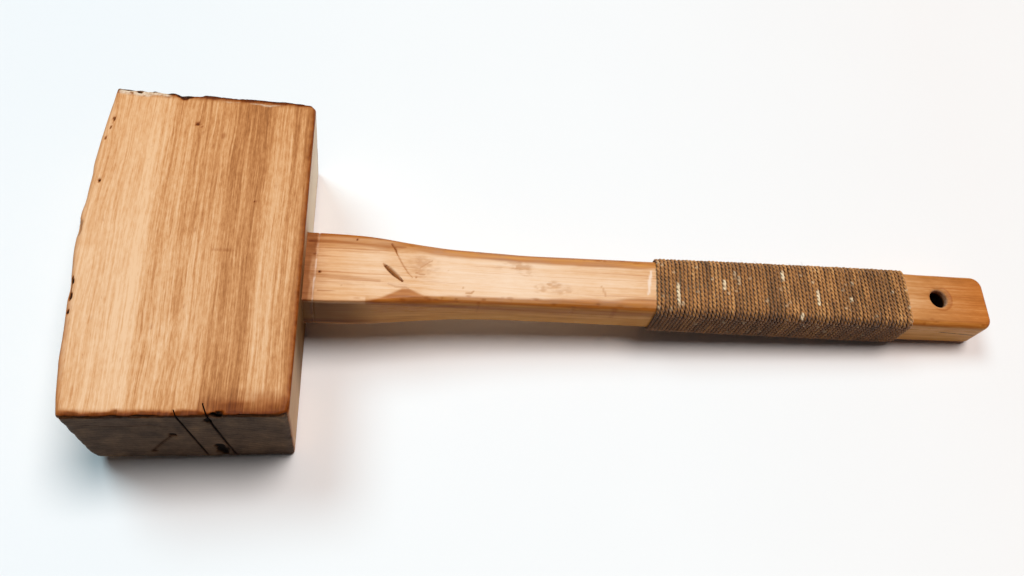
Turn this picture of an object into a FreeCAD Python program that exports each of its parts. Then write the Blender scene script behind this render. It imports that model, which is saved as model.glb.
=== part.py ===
import FreeCAD, Part
import os, math
from FreeCAD import Vector

# Wooden mallet with a crowned rectangular head on a shaped handle.
# Frame, millimetres: +X runs along the handle from the head to the grip end,
# +Y along the head's length, +Z up.  The origin is the centre of the head's
# lower cheek, on the handle's centre line.

# ---- driving dimensions -------------------------------------------------
head_thickness = 60.0          # cheek to cheek, Z
crown_x = -47.4                # crest of the crowned top of the head
crown_crest_y = 4.3            # where the crown stands furthest out
crown_far = (-42.8, 78.8)      # crown corner on the +Y striking face
crown_near = (-41.5, -79.1)    # crown corner on the -Y striking face
under_far = (46.9, 78.6)       # underside corner on the +Y striking face
under_near = (46.6, -76.0)     # underside corner on the -Y striking face
head_edge_r = 2.0              # worn round on the head's outer edges

handle_z = 31.2                # height of the handle's centre line
handle_end_x = 394.8           # end of the grip
tang_w = 34.8                  # tang width where it leaves the underside, Y
tang_t = 26.6                  # tang thickness, Z
tang_crown_w = 40.6            # width of the spread tang at the crown
under_x = 46.7                 # underside of the head on the centre line
kerf_root_x = 21.6             # bottom of the wedge kerfs
kerf_w = 1.5                   # saw kerf
wedge_tip_x = 15.6             # tip of a driven wedge
tang_out = 1.0                 # square tang carries on this far past the head

hole_x = 367.25                # hanging hole
hole_y = 0.8
hole_r = 5.0
hole_chamfer = 1.3

wrap_x0 = 214.5                # twine winding, first turn
wrap_x1 = 351.1                # twine winding, last turn
twine_stand = 1.8              # how far the winding stands proud of the wood
end_corner_r = 6.0             # corners of the grip end, seen from above
end_edge_r = 2.2               # round on the edges of the grip end

# Handle sections: distance from the underside, width, thickness, edge round.
sections = [
    (1.0,   34.8, 26.6, 0.7),
    (8.5,   34.8, 26.6, 0.7),
    (19.5,  34.4, 27.0, 0.8),
    (27.5,  33.8, 27.0, 1.0),
    (35.5,  32.9, 26.7, 1.6),
    (44.5,  31.8, 25.9, 2.8),
    (55.5,  30.4, 24.7, 3.6),
    (70.5,  28.9, 23.2, 4.0),
    (87.5,  28.0, 22.2, 4.0),
    (104.5, 27.7, 21.8, 4.0),
    (129.5, 27.7, 22.1, 4.1),
    (167.5, 28.0, 22.8, 4.2),
    (209.5, 28.5, 23.4, 4.0),
    (249.5, 28.9, 23.4, 3.6),
    (289.5, 29.3, 22.7, 3.2),
    (319.5, 29.5, 21.7, 3.0),
    (348.1, 29.6, 20.7, 3.0),
]

os.makedirs("parts", exist_ok=True)


def prism(points, z0, z1):
    """Closed straight-sided prism over a plan outline."""
    pts = [Vector(x, y, z0) for x, y in points]
    pts.append(pts[0])
    return Part.Face(Part.makePolygon(pts)).extrude(Vector(0, 0, z1 - z0))


def ring(x, w, t, r):
    """Rounded rectangle across the handle at station x, as a closed wire."""
    hy, hz = w / 2.0, t / 2.0
    k = r * (1.0 - math.sqrt(0.5))
    def v(y, z):
        return Vector(x, y, handle_z + z)
    e = [
        Part.LineSegment(v(-hy + r, hz), v(hy - r, hz)).toShape(),
        Part.Arc(v(hy - r, hz), v(hy - k, hz - k), v(hy, hz - r)).toShape(),
        Part.LineSegment(v(hy, hz - r), v(hy, -hz + r)).toShape(),
        Part.Arc(v(hy, -hz + r), v(hy - k, -hz + k), v(hy - r, -hz)).toShape(),
        Part.LineSegment(v(hy - r, -hz), v(-hy + r, -hz)).toShape(),
        Part.Arc(v(-hy + r, -hz), v(-hy + k, -hz + k), v(-hy, -hz + r)).toShape(),
        Part.LineSegment(v(-hy, -hz + r), v(-hy, hz - r)).toShape(),
        Part.Arc(v(-hy, hz - r), v(-hy + k, hz - k), v(-hy + r, hz)).toShape(),
    ]
    return Part.Wire(e)


def section_at(d):
    """Width, thickness and edge round at distance d from the underside."""
    for a, b in zip(sections, sections[1:]):
        if a[0] <= d <= b[0]:
            f = (d - a[0]) / (b[0] - a[0])
            return tuple(a[i] + (b[i] - a[i]) * f for i in (1, 2, 3))
    return sections[-1][1:]


# ---- outline of the head, with the crown as one shallow arc --------------
def head_blank():
    def v(p):
        return Vector(p[0], p[1], 0.0)
    wire = Part.Wire([
        Part.LineSegment(v(crown_near), v(under_near)).toShape(),
        Part.LineSegment(v(under_near), v(under_far)).toShape(),
        Part.LineSegment(v(under_far), v(crown_far)).toShape(),
        Part.Arc(v(crown_far), Vector(crown_x, crown_crest_y, 0.0), v(crown_near)).toShape(),
    ])
    return Part.Face(wire).extrude(Vector(0, 0, head_thickness))


blank = head_blank()
tang_z0 = handle_z - tang_t / 2.0
tang_z1 = handle_z + tang_t / 2.0
over_x = crown_x - 10.0        # past the crown, trimmed back by the blank


def flare(x):
    """Half width of the spread tang at x."""
    if x >= kerf_root_x:
        return tang_w / 2.0
    f = (kerf_root_x - x) / (kerf_root_x - crown_x)
    return tang_w / 2.0 + f * (tang_crown_w - tang_w) / 2.0


# Straight for the lower part of the mortise, then flared towards the crown.
mortise_plan = [
    (under_x + 8.0, -tang_w / 2.0), (under_x + 8.0, tang_w / 2.0),
    (kerf_root_x, tang_w / 2.0), (over_x, flare(over_x)),
    (over_x, -flare(over_x)), (kerf_root_x, -tang_w / 2.0),
]
mortise = prism(mortise_plan, tang_z0, tang_z1)

# ---- head ----------------------------------------------------------------
eased = blank.makeFillet(head_edge_r, blank.Edges)
head = eased.cut(mortise)
head = head.removeSplitter()

# ---- kerfs and wedges ----------------------------------------------------
# Three equal leaves of the tang stay between the two kerfs.
leaf = (tang_w - 2.0 * kerf_w) / 3.0


def kerf_sides(x, sign):
    """Inner and outer side of one kerf at x, in Y."""
    f = max(0.0, (kerf_root_x - x) / (kerf_root_x - crown_x))
    spread = f * (tang_crown_w - tang_w) / 2.0
    width = kerf_w + spread
    inner = leaf / 2.0
    return sign * inner, sign * (inner + width)


def kerf(sign):
    a0, b0 = kerf_sides(kerf_root_x, sign)
    a1, b1 = kerf_sides(over_x, sign)
    return prism([(kerf_root_x, a0), (kerf_root_x, b0), (over_x, b1), (over_x, a1)],
                 tang_z0 - 1.0, tang_z1 + 1.0)


def wedge(sign):
    a0, b0 = kerf_sides(wedge_tip_x, sign)
    a1, b1 = kerf_sides(over_x, sign)
    w = prism([(wedge_tip_x, a0), (wedge_tip_x, b0), (over_x, b1), (over_x, a1)],
              tang_z0, tang_z1)
    return w.common(blank)


wedge_front = wedge(-1.0)
wedge_rear = wedge(1.0)

# ---- handle --------------------------------------------------------------
tang = prism([
    (under_x + tang_out, -tang_w / 2.0), (under_x + tang_out, tang_w / 2.0),
    (kerf_root_x, tang_w / 2.0), (over_x, flare(over_x)),
    (over_x, -flare(over_x)), (kerf_root_x, -tang_w / 2.0)], tang_z0, tang_z1)
# The crown end is planed off flush with the head.
trim = blank.fuse(prism([(0.0, -30.0), (60.0, -30.0), (60.0, 30.0), (0.0, 30.0)], 5.0, 55.0))
tang = tang.common(trim)
tang = tang.cut(kerf(-1.0)).cut(kerf(1.0))

rings = [ring(under_x + d, w, t, r) for d, w, t, r in sections]
shaft = Part.makeLoft(rings, True, False)
# Rounded corners at the grip end, in plan.
hw = 40.0
r = end_corner_r
ew = sections[-1][1] / 2.0 + 0.12
k = r * (1.0 - math.sqrt(0.5))
cut_wire = Part.Wire([
    Part.LineSegment(Vector(30, -hw, 0), Vector(handle_end_x - r, -hw, 0)).toShape(),
    Part.LineSegment(Vector(handle_end_x - r, -hw, 0), Vector(handle_end_x - r, -ew, 0)).toShape(),
    Part.Arc(Vector(handle_end_x - r, -ew, 0), Vector(handle_end_x - k, -ew + k, 0),
             Vector(handle_end_x, -ew + r, 0)).toShape(),
    Part.LineSegment(Vector(handle_end_x, -ew + r, 0), Vector(handle_end_x, ew - r, 0)).toShape(),
    Part.Arc(Vector(handle_end_x, ew - r, 0), Vector(handle_end_x - k, ew - k, 0),
             Vector(handle_end_x - r, ew, 0)).toShape(),
    Part.LineSegment(Vector(handle_end_x - r, ew, 0), Vector(handle_end_x - r, hw, 0)).toShape(),
    Part.LineSegment(Vector(handle_end_x - r, hw, 0), Vector(30, hw, 0)).toShape(),
    Part.LineSegment(Vector(30, hw, 0), Vector(30, -hw, 0)).toShape(),
])
plan = Part.Face(cut_wire).extrude(Vector(0, 0, 80))
shaft = shaft.common(plan)

# Eased edges round the grip end.
tip = []
for e in shaft.Edges:
    b = e.BoundBox
    flat = b.ZMax - b.ZMin < 0.3
    if b.XMin > handle_end_x - end_corner_r - 0.5 and flat and abs(b.ZMin - handle_z) > 7.0:
        tip.append(e)
shaft = shaft.makeFillet(end_edge_r, tip)

handle = tang.fuse(shaft)
bore = Part.makeCylinder(hole_r, 60, Vector(hole_x, hole_y, 0), Vector(0, 0, 1))
handle = handle.cut(bore)
end_t = section_at(hole_x - under_x)[1]
hole_top = handle_z + end_t / 2.0
hole_bot = handle_z - end_t / 2.0
c = hole_chamfer
handle = handle.cut(Part.makeCone(hole_r, hole_r + 2 * c, 2 * c,
                                  Vector(hole_x, hole_y, hole_top - c), Vector(0, 0, 1)))
handle = handle.cut(Part.makeCone(hole_r, hole_r + 2 * c, 2 * c,
                                  Vector(hole_x, hole_y, hole_bot + c), Vector(0, 0, -1)))

# ---- twine winding: a close sleeve of the twine's outer shape ------------
s = twine_stand
xs = [wrap_x0, wrap_x0 + 22, wrap_x0 + 45, wrap_x0 + 70, wrap_x0 + 95, wrap_x0 + 118, wrap_x1]
outer = []
for x in xs:
    w, t, rr = section_at(x - under_x)
    outer.append(ring(x, w + 2 * s, t + 2 * s, rr + s))
sleeve = Part.makeLoft(outer, True, False)
grip_twine = sleeve.cut(handle)

# ---- write one STEP per piece --------------------------------------------
nodes = {
    "head": head,
    "handle": handle,
    "wedge_front": wedge_front,
    "wedge_rear": wedge_rear,
    "grip_twine": grip_twine,
}
for name, shape in nodes.items():
    solids = shape.Solids
    if len(solids) == 1:
        shape = solids[0]
    box = shape.BoundBox
    print(name, "solids", len(solids), "valid", shape.isValid(), "volume", round(shape.Volume, 1),
          "box", [round(v, 2) for v in (box.XMin, box.YMin, box.ZMin, box.XMax, box.YMax, box.ZMax)])
    shape.exportStep("parts/" + name + ".step")
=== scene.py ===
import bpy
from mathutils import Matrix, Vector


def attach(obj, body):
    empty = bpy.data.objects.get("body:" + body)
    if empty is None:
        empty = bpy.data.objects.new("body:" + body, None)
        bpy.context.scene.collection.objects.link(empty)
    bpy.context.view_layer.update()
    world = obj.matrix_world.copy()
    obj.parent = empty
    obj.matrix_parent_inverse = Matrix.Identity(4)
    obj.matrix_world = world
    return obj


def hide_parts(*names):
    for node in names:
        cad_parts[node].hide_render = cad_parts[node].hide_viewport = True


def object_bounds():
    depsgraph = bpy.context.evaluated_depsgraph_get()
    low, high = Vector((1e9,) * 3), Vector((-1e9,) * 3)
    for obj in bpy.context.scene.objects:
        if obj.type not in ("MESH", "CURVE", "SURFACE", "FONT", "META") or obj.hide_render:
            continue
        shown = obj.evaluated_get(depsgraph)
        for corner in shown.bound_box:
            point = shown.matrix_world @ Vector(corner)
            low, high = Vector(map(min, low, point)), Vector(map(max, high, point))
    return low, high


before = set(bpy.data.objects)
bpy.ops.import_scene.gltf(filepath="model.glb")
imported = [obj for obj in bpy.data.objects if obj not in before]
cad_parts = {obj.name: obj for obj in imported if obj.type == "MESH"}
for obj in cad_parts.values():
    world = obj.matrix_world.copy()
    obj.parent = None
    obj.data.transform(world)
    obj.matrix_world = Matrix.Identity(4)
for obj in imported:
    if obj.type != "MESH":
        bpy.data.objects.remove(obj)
cad_lo, cad_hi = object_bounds()
cad_lo, cad_hi = list(cad_lo), list(cad_hi)

import bpy, math
import numpy as np
from mathutils import Matrix, Vector

MM = 0.001
scene = bpy.context.scene
scene.view_settings.view_transform = "Standard"
scene.view_settings.look = "None"

# ---------------------------------------------------------------- camera
cam_data = bpy.data.cameras.new("cam")
cam_data.sensor_width = 36.0
cam_data.lens = 880.49 / 1024.0 * 36.0
cam_data.clip_start = 0.01
cam_data.clip_end = 50.0
cam = bpy.data.objects.new("cam", cam_data)
scene.collection.objects.link(cam)
cam.matrix_world = Matrix((
    (0.98623271, -0.04807696, -0.15822024, 0.07670855),
    (-0.02465508, 0.90335822, -0.4281776, -0.18346429),
    (0.16351503, 0.42618368, 0.88973609, 0.41226801),
    (0.0, 0.0, 0.0, 1.0)))
scene.camera = cam

# ---------------------------------------------------------------- helpers
def smooth(a, b, x):
    t = np.clip((x - a) / (b - a), 0.0, 1.0)
    return t * t * (3.0 - 2.0 * t)


def _hash(ix, iy, iz, seed):
    h = (ix * 374761393 + iy * 668265263 + iz * 1013904223 + seed * 974634777) & 0xFFFFFFFF
    h = ((h ^ (h >> 13)) * 1274126177) & 0xFFFFFFFF
    h = ((h ^ (h >> 16)) * 2246822519) & 0xFFFFFFFF
    h = h ^ (h >> 15)
    return (h & 0xFFFFFF) / float(0xFFFFFF)


def vnoise(p, scale, seed=0):
    """Smooth value noise in -1..1 at points p (N,3) in mm; scale is the cell size in mm, one number or three."""
    q = p / np.asarray(scale, float)
    i = np.floor(q).astype(np.int64)
    f = q - i
    f = f * f * f * (f * (f * 6 - 15) + 10)
    out = 0.0
    for dx in (0, 1):
        wx = f[:, 0] if dx else 1 - f[:, 0]
        for dy in (0, 1):
            wy = f[:, 1] if dy else 1 - f[:, 1]
            for dz in (0, 1):
                wz = f[:, 2] if dz else 1 - f[:, 2]
                out = out + wx * wy * wz * _hash(i[:, 0] + dx, i[:, 1] + dy, i[:, 2] + dz, seed)
    return out * 2.0 - 1.0


def fbm(p, scale, seed=0, octaves=3):
    s = np.asarray(scale, float)
    out, amp, tot = 0.0, 1.0, 0.0
    for o in range(octaves):
        out = out + amp * vnoise(p, s / (2.03 ** o), seed + 17 * o)
        tot += amp
        amp *= 0.5
    return out / tot


def spans(knots):
    """Grid lines from a list of (position, step up to the next position)."""
    out = []
    for (a, step), (b, _) in zip(knots, knots[1:]):
        n = max(1, int(round(abs(b - a) / step)))
        out.extend(a + (b - a) * k / n for k in range(n))
    out.append(knots[-1][0])
    return np.array(out)


def block_surface(solid):
    """Boundary quads of a block of cells (True = wood).  Returns corner indices (N,3) of the used grid points and the quads."""
    I, J, K = solid.shape
    pad = np.zeros((I + 2, J + 2, K + 2), bool)
    pad[1:-1, 1:-1, 1:-1] = solid
    key = lambda i, j, k: (i * (J + 1) + j) * (K + 1) + k
    quads = []
    for axis in range(3):
        a = [slice(1, -1)] * 3
        b = [slice(1, -1)] * 3
        a[axis] = slice(0, -1)
        b[axis] = slice(1, None)
        lo, hi = pad[tuple(a)], pad[tuple(b)]
        for cells, flip in ((np.argwhere(hi & ~lo), True), (np.argwhere(lo & ~hi), False)):
            if not len(cells):
                continue
            i, j, k = cells[:, 0], cells[:, 1], cells[:, 2]
            if axis == 0:
                c = [(i, j, k), (i, j + 1, k), (i, j + 1, k + 1), (i, j, k + 1)]
            elif axis == 1:
                c = [(i, j, k), (i, j, k + 1), (i + 1, j, k + 1), (i + 1, j, k)]
            else:
                c = [(i, j, k), (i + 1, j, k), (i + 1, j + 1, k), (i, j + 1, k)]
            q = np.stack([key(*x) for x in c], 1)
            quads.append(q[:, ::-1] if flip else q)
    quads = np.concatenate(quads)
    used, inv = np.unique(quads, return_inverse=True)
    quads = inv.reshape(quads.shape)
    k = used % (K + 1)
    j = (used // (K + 1)) % (J + 1)
    i = used // ((K + 1) * (J + 1))
    return np.stack([i, j, k], 1), quads


def make_mesh(name, verts_mm, quads, attrs=None, sharp=None, tris=None):
    me = bpy.data.meshes.new(name)
    v = np.asarray(verts_mm, float) * MM
    quads = np.asarray(quads, np.int32)
    loops = quads.ravel()
    starts = np.arange(0, quads.size, 4, dtype=np.int32)
    if tris is not None and len(tris):
        tris = np.asarray(tris, np.int32)
        starts = np.concatenate([starts, quads.size + np.arange(0, tris.size, 3, dtype=np.int32)])
        loops = np.concatenate([loops, tris.ravel()])
    me.vertices.add(len(v))
    me.vertices.foreach_set("co", v.astype(np.float32).ravel())
    me.loops.add(len(loops))
    me.loops.foreach_set("vertex_index", loops)
    me.polygons.add(len(starts))
    me.polygons.foreach_set("loop_start", starts)
    me.polygons.foreach_set("use_smooth", np.ones(len(starts), bool))
    me.update(calc_edges=True)
    if me.validate():
        print("mesh repaired:", name)
    for key, val in (attrs or {}).items():
        a = me.attributes.new(key, "FLOAT", "POINT")
        a.data.foreach_set("value", np.asarray(val, np.float32))
    if sharp:
        me.set_sharp_from_angle(angle=math.radians(sharp))
    ob = bpy.data.objects.new(name, me)
    scene.collection.objects.link(ob)
    return ob


def dent(p, centre, size, seed=0, rough=0.35):
    """1 at the centre of an ellipsoid, 0 outside it, with an uneven outline."""
    d = np.linalg.norm((p - np.array(centre, float)) / np.array(size, float), axis=1)
    d = d + rough * vnoise(p, np.array(size, float) * 0.6 + 0.2, seed)
    return 1.0 - smooth(0.35, 1.0, d)


def line_mask(x, y, pts, half):
    """1 on a polyline in the x, y plane, falling to 0 at the half width given at each point."""
    best = np.zeros(len(x))
    for (x0, y0, h0), (x1, y1, h1) in zip([(*p, h) for p, h in zip(pts, half)], [(*p, h) for p, h in zip(pts[1:], half[1:])]):
        dx, dy = x1 - x0, y1 - y0
        t = np.clip(((x - x0) * dx + (y - y0) * dy) / (dx * dx + dy * dy), 0, 1)
        d = np.hypot(x - x0 - t * dx, y - y0 - t * dy)
        h = h0 + t * (h1 - h0)
        best = np.maximum(best, 1.0 - smooth(0.35, 1.0, d / h))
    return best


# ---------------------------------------------------------------- sizes (mm), as in the CAD source
T = 60.0
CROWN_X, CREST_Y = -47.4, 4.3
ZH = 31.2
TANG_W, TANG_T, TANG_CROWN_W = 34.8, 26.6, 40.6
UNDER_X, KERF_X, KERF_W, WEDGE_TIP = 46.7, 21.6, 1.5, 15.6
END_X = 394.1
HOLE = (367.25, 0.8, 5.0)
WRAP0, WRAP1 = 214.5, 351.1
Z0, Z1 = ZH - TANG_T / 2, ZH + TANG_T / 2


def crown_at(y):
    # circle through the two crown corners and the crest
    (x1, y1), (x2, y2), (x3, y3) = (-42.8, 78.8), (CROWN_X, CREST_Y), (-41.5, -79.1)
    a = np.array([[2 * (x2 - x1), 2 * (y2 - y1)], [2 * (x3 - x1), 2 * (y3 - y1)]])
    b = np.array([x2 ** 2 + y2 ** 2 - x1 ** 2 - y1 ** 2, x3 ** 2 + y3 ** 2 - x1 ** 2 - y1 ** 2])
    cx, cy = np.linalg.solve(a, b)
    r = math.hypot(x1 - cx, y1 - cy)
    return cx - np.sqrt(np.maximum(r * r - (y - cy) ** 2, 0.0))


def flare_half(x):
    f = np.clip((KERF_X - x) / (KERF_X - CROWN_X), 0.0, None)
    return TANG_W / 2 + f * (TANG_CROWN_W - TANG_W) / 2


SECTIONS = np.array([
    (0.0, 34.8, 26.6, 0.7), (1.0, 34.8, 26.6, 0.7), (8.5, 34.8, 26.6, 0.7), (19.5, 34.4, 27.0, 0.8), (27.5, 33.8, 27.0, 1.0),
    (35.5, 32.9, 26.7, 1.6), (44.5, 31.8, 25.9, 2.8), (55.5, 30.4, 24.7, 3.6), (70.5, 28.9, 23.2, 4.0),
    (87.5, 28.0, 22.2, 4.0), (104.5, 27.7, 21.8, 4.0), (129.5, 27.7, 22.1, 4.1), (167.5, 28.0, 22.8, 4.2),
    (209.5, 28.5, 23.4, 4.0), (249.5, 28.9, 23.4, 3.6), (289.5, 29.3, 22.7, 3.2), (319.5, 29.5, 21.7, 3.0),
    (348.1, 29.6, 20.7, 3.0)])


def cubic(xs, ys, x):
    """Smooth curve through the points, without overshoot."""
    xs, ys = np.asarray(xs, float), np.asarray(ys, float)
    h = np.diff(xs)
    d = np.diff(ys) / h
    m = np.zeros(len(xs))
    m[0], m[-1] = d[0], d[-1]
    for i in range(1, len(xs) - 1):
        if d[i - 1] * d[i] > 0:
            w1, w2 = 2 * h[i] + h[i - 1], h[i] + 2 * h[i - 1]
            m[i] = (w1 + w2) / (w1 / d[i - 1] + w2 / d[i])
    x = np.clip(np.asarray(x, float), xs[0], xs[-1])
    i = np.clip(np.searchsorted(xs, x) - 1, 0, len(h) - 1)
    t = (x - xs[i]) / h[i]
    return ((1 + 2 * t) * (1 - t) ** 2 * ys[i] + t * (1 - t) ** 2 * h[i] * m[i]
            + t * t * (3 - 2 * t) * ys[i + 1] + t * t * (t - 1) * h[i] * m[i + 1])


def sect(x, col):
    return cubic(SECTIONS[:, 0] + UNDER_X, SECTIONS[:, col], x)


# ================================================================ head
CR1, CR2 = 3.1, 14.9           # where the two long cracks cross the near striking face at the upper cheek
crack_w = 0.72
CRACK_Z = [0.0, 7.0, 20.0, 34.0, 46.0, 56.5, 60.0]
CRACK1 = [7.9, 7.4, 6.3, 5.2, 4.2, 3.4, 3.1]
CRACK2 = [20.3, 19.6, 18.2, 16.9, 15.9, 15.1, 14.9]
gx = spans([(-47.4, 0.4), (-42.0, 0.95), (-3.0, 0.5), (CR1 - 2.0, 0.4), (CR1 - crack_w / 2, crack_w), (CR1 + crack_w / 2, 0.4),
            (CR1 + 2.5, 0.6), (CR2 - 2.5, 0.4), (CR2 - crack_w / 2, crack_w), (CR2 + crack_w / 2, 0.4), (CR2 + 2.5, 0.6),
            (24.0, 0.95), (41.5, 0.4), (46.7, 1.0)])
i_c1 = int(np.argmin(abs(gx - (CR1 - crack_w / 2))))
i_c2 = int(np.argmin(abs(gx - (CR2 - crack_w / 2))))
# y lines in three fixed spans: near face to tang, tang, tang to far face
ny = spans([(0.0, 0.38), (5.7, 0.7), (14.0, 1.0), (54.0, 0.9), (61.0, 1.0)]) / 61.0
ty = np.linspace(0, 1, 31)
fy = spans([(0.0, 0.9), (7.0, 1.0), (52.0, 0.7), (56.5, 0.36), (60.0, 1.0)]) / 60.0
jn, jt, jf = len(ny) - 1, len(ty) - 1, len(fy) - 1
J = jn + jt + jf
gz = spans([(0.0, 0.4), (5.0, 0.9), (Z0, 0.9), (Z1, 0.9), (55.0, 0.36), (60.0, 1.0)])
k0 = int(np.argmin(abs(gz - Z0)))
k1 = int(np.argmin(abs(gz - Z1)))
I, K = len(gx) - 1, len(gz) - 1
solid = np.ones((I, J, K), bool)
solid[:, jn:jn + jt, k0:k1] = False
# the two long cracks, open at the near striking face
zc = (gz[:-1] + gz[1:]) / 2
rngd = np.random.RandomState(5)
for ic, top, deep in ((i_c1, 1.5, 17.0), (i_c2, 3.0, 24.0)):
    for k in range(K):
        if zc[k] < top:
            continue
        d = deep * (0.55 + 0.45 * math.sin(zc[k] / 17.0 + ic)) * min(1.0, (zc[k] - top) / 12.0 + 0.15)
        d = min(d, (2.5 if ic == i_c1 else 5.2) + (60.0 - zc[k]) * 1.1)
        n = int(np.searchsorted(ny * 61.0, d))
        solid[ic, :max(1, n), k] = False
grid, quads = block_surface(solid)
gi, gj, gk = grid.T
s = (gx[gi] - gx[0]) / (gx[-1] - gx[0])
x_hat = gx[gi]
near_y = -79.1 + (79.1 - 76.0) * s
far_y = 78.8 + (78.6 - 78.8) * s
fl = flare_half(x_hat)
y = np.where(gj <= jn, near_y + (-fl - near_y) * np.interp(gj, np.arange(jn + 1), ny),
             np.where(gj <= jn + jt, -fl + 2 * fl * np.interp(gj - jn, np.arange(jt + 1), ty),
                      fl + (far_y - fl) * np.interp(gj - jn - jt, np.arange(jf + 1), fy)))
z = gz[gk]
xc = crown_at(y)
xu = UNDER_X + (y + 76.0) / (78.6 + 76.0) * 0.3 - 0.1
x = xc + s * (xu - xc)
# grid lines lean with the cracks
dr1 = np.interp(z, CRACK_Z, CRACK1) - (xc + (CR1 - gx[0]) / (gx[-1] - gx[0]) * (xu - xc))
dr2 = np.interp(z, CRACK_Z, CRACK2) - (xc + (CR2 - gx[0]) / (gx[-1] - gx[0]) * (xu - xc))
t1 = np.clip((x_hat + 32.0) / (CR1 + 32.0), 0, 1)
t2 = np.clip((x_hat - CR1) / (CR2 - CR1), 0, 1)
t3 = np.clip((43.0 - x_hat) / (43.0 - CR2), 0, 1)
drift = np.where(x_hat <= CR1, dr1 * t1, np.where(x_hat <= CR2, dr1 + (dr2 - dr1) * t2, dr2 * t3))
fade = 1 - smooth(-60, -20, y)
# at the upper cheek their tails slant towards the crown
tail_x = -0.42 * np.minimum(y - near_y, 5.0) * smooth(46, 60, z) * np.where(x_hat <= CR1, t1, np.where(x_hat <= CR2, 1.0, t3))
x = x + (drift + tail_x) * fade
# cracks close up inwards and towards their lower ends
depth_in = y - near_y
for ic, xcen in ((i_c1, CR1), (i_c2, CR2)):
    for side in (0, 1):
        m = (gi == ic + side) & (gj < jn)
        w = np.clip(1.0 - depth_in[m] / 22.0, 0.12, 1.0)
        w = w * np.clip(0.35 + 0.65 * z[m] / 60.0 + 0.25 * np.sin(z[m] / 3.1 + ic), 0.18, 1.0)
        x[m] += (0.5 - side) * crack_w * (1 - w)
P = np.stack([x, y, z], 1)
outer = (gi == 0) | (gi == I) | (gj == 0) | (gj == J) | (gk == 0) | (gk == K)
tunnel = (gj >= jn) & (gj <= jn + jt) & (gk >= k0) & (gk <= k1)
tube_mouth = tunnel & ((gi == 0) | (gi == I))
shape_it = outer & ~tube_mouth

d_near, d_far = y - near_y, far_y - y
d_crown, d_under = x - xc, xu - x
d_top, d_bot = T - z, z
base_r = 1.35 + 0.35 * vnoise(P, (16, 16, 16), 3) + 0.3 * vnoise(P, (5, 5, 5), 4)
# the striking edges are beaten rounder than the long edges, and the corners rounder still
strike_edge = np.maximum(1 - smooth(0, 9, d_near), 1 - smooth(0, 9, d_far))
crown_edge = 1 - smooth(0, 9, d_crown)
under_edge = 1 - smooth(0, 9, d_under)
far_top = (1 - smooth(0, 9, d_far)) * (1 - smooth(0, 9, d_top)) * (1 - smooth(-12, 12, x_hat))
radius = base_r + 0.9 * strike_edge * crown_edge * (y < 0) + 1.9 * strike_edge * under_edge * smooth(20, 60, z) - 0.8 * far_top
radius = radius + 2.2 * (1 - smooth(0, 9, d_near)) * crown_edge * (1 - smooth(0, 9, d_bot)) - 0.4 * (1 - smooth(0, 9, d_near)) * (1 - smooth(0, 6, d_top)) * (1 - under_edge)
radius = np.clip(radius, 0.5, 4.6)
r = radius
ex = np.maximum(0, r - d_under) - np.maximum(0, r - d_crown)
ey = np.maximum(0, r - d_far) - np.maximum(0, r - d_near)
ez = np.maximum(0, r - d_top) - np.maximum(0, r - d_bot)
E = np.stack([ex, ey, ez], 1)
L = np.linalg.norm(E, axis=1)
L[L < 1e-6] = 1.0
Q = P - E
Pr = np.where(shape_it[:, None], Q + E / L[:, None] * r[:, None], P)
nrm = E / L[:, None]

# distance from the nearest outer edge, along the surface
ds = np.sort(np.stack([np.minimum(d_near, d_far), np.minimum(d_crown, d_under), np.minimum(d_top, d_bot)], 1), 1)
edge_d = ds[:, 1]
strike_d = np.minimum(d_near, d_far)

wob = 0.5 * fbm(P, (7, 7, 7), 11, 3)
crown_w = np.where((d_crown < 5) & (strike_d > 3), np.interp(y, [-79, -20, 20, 79], [0.75, 0.6, 0.35, 0.3]), 1.0)
wear = crown_w * (1 - smooth(0.5, 4.2, edge_d * np.where(d_far < 4, 0.8, 1.0) / np.sqrt(crown_w) + 1.6 * wob)) * shape_it
# underside mask, used for painted light and painted shade on the underside
under_light_shade_mask = (1 - smooth(0.4, 2.2, d_under + 0.8 * wob)) * shape_it * (1 - 0.8 * (1 - smooth(0.6, 2.4, d_top)))
dark = np.zeros(len(P))
pale = np.zeros(len(P))
push = np.zeros((len(P), 3))

# beaten, ragged edges round both striking faces
rag = np.clip(fbm(P, (3.2, 3.2, 3.2), 21, 3) + 0.15, 0, 1)
along = (1 - smooth(0.0, 2.6, edge_d)) * (1 - smooth(0.0, 3.5, strike_d))
push -= nrm * ((0.8 + 0.7 * (d_near < 6) * (d_top < 6)) * rag * along * (1 - 0.5 * far_top))[:, None]
# shallow flats and hollows all over
push -= nrm * (0.10 * np.clip(fbm(P, (22, 34, 22), 31, 2), 0, 1) * shape_it)[:, None]
# striking faces are slightly dished and pitted
face_m = (1 - smooth(0.0, 0.6, strike_d)) * (edge_d > 0.8)
pit = np.clip(fbm(P, (2.2, 2.2, 2.2), 41, 3) - 0.12, 0, 1)
push -= nrm * (0.22 * pit * face_m)[:, None]


def chip(centre, size, depth, direction, seed, darkness=0.0, paleness=0.0):
    global push, dark, pale
    m = dent(P, centre, size, seed) * shape_it
    push += m[:, None] * depth * np.array(direction, float)
    dark = np.maximum(dark, darkness * smooth(0.05, 0.6, m))
    pale = np.maximum(pale, paleness * smooth(0.05, 0.6, m))


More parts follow.
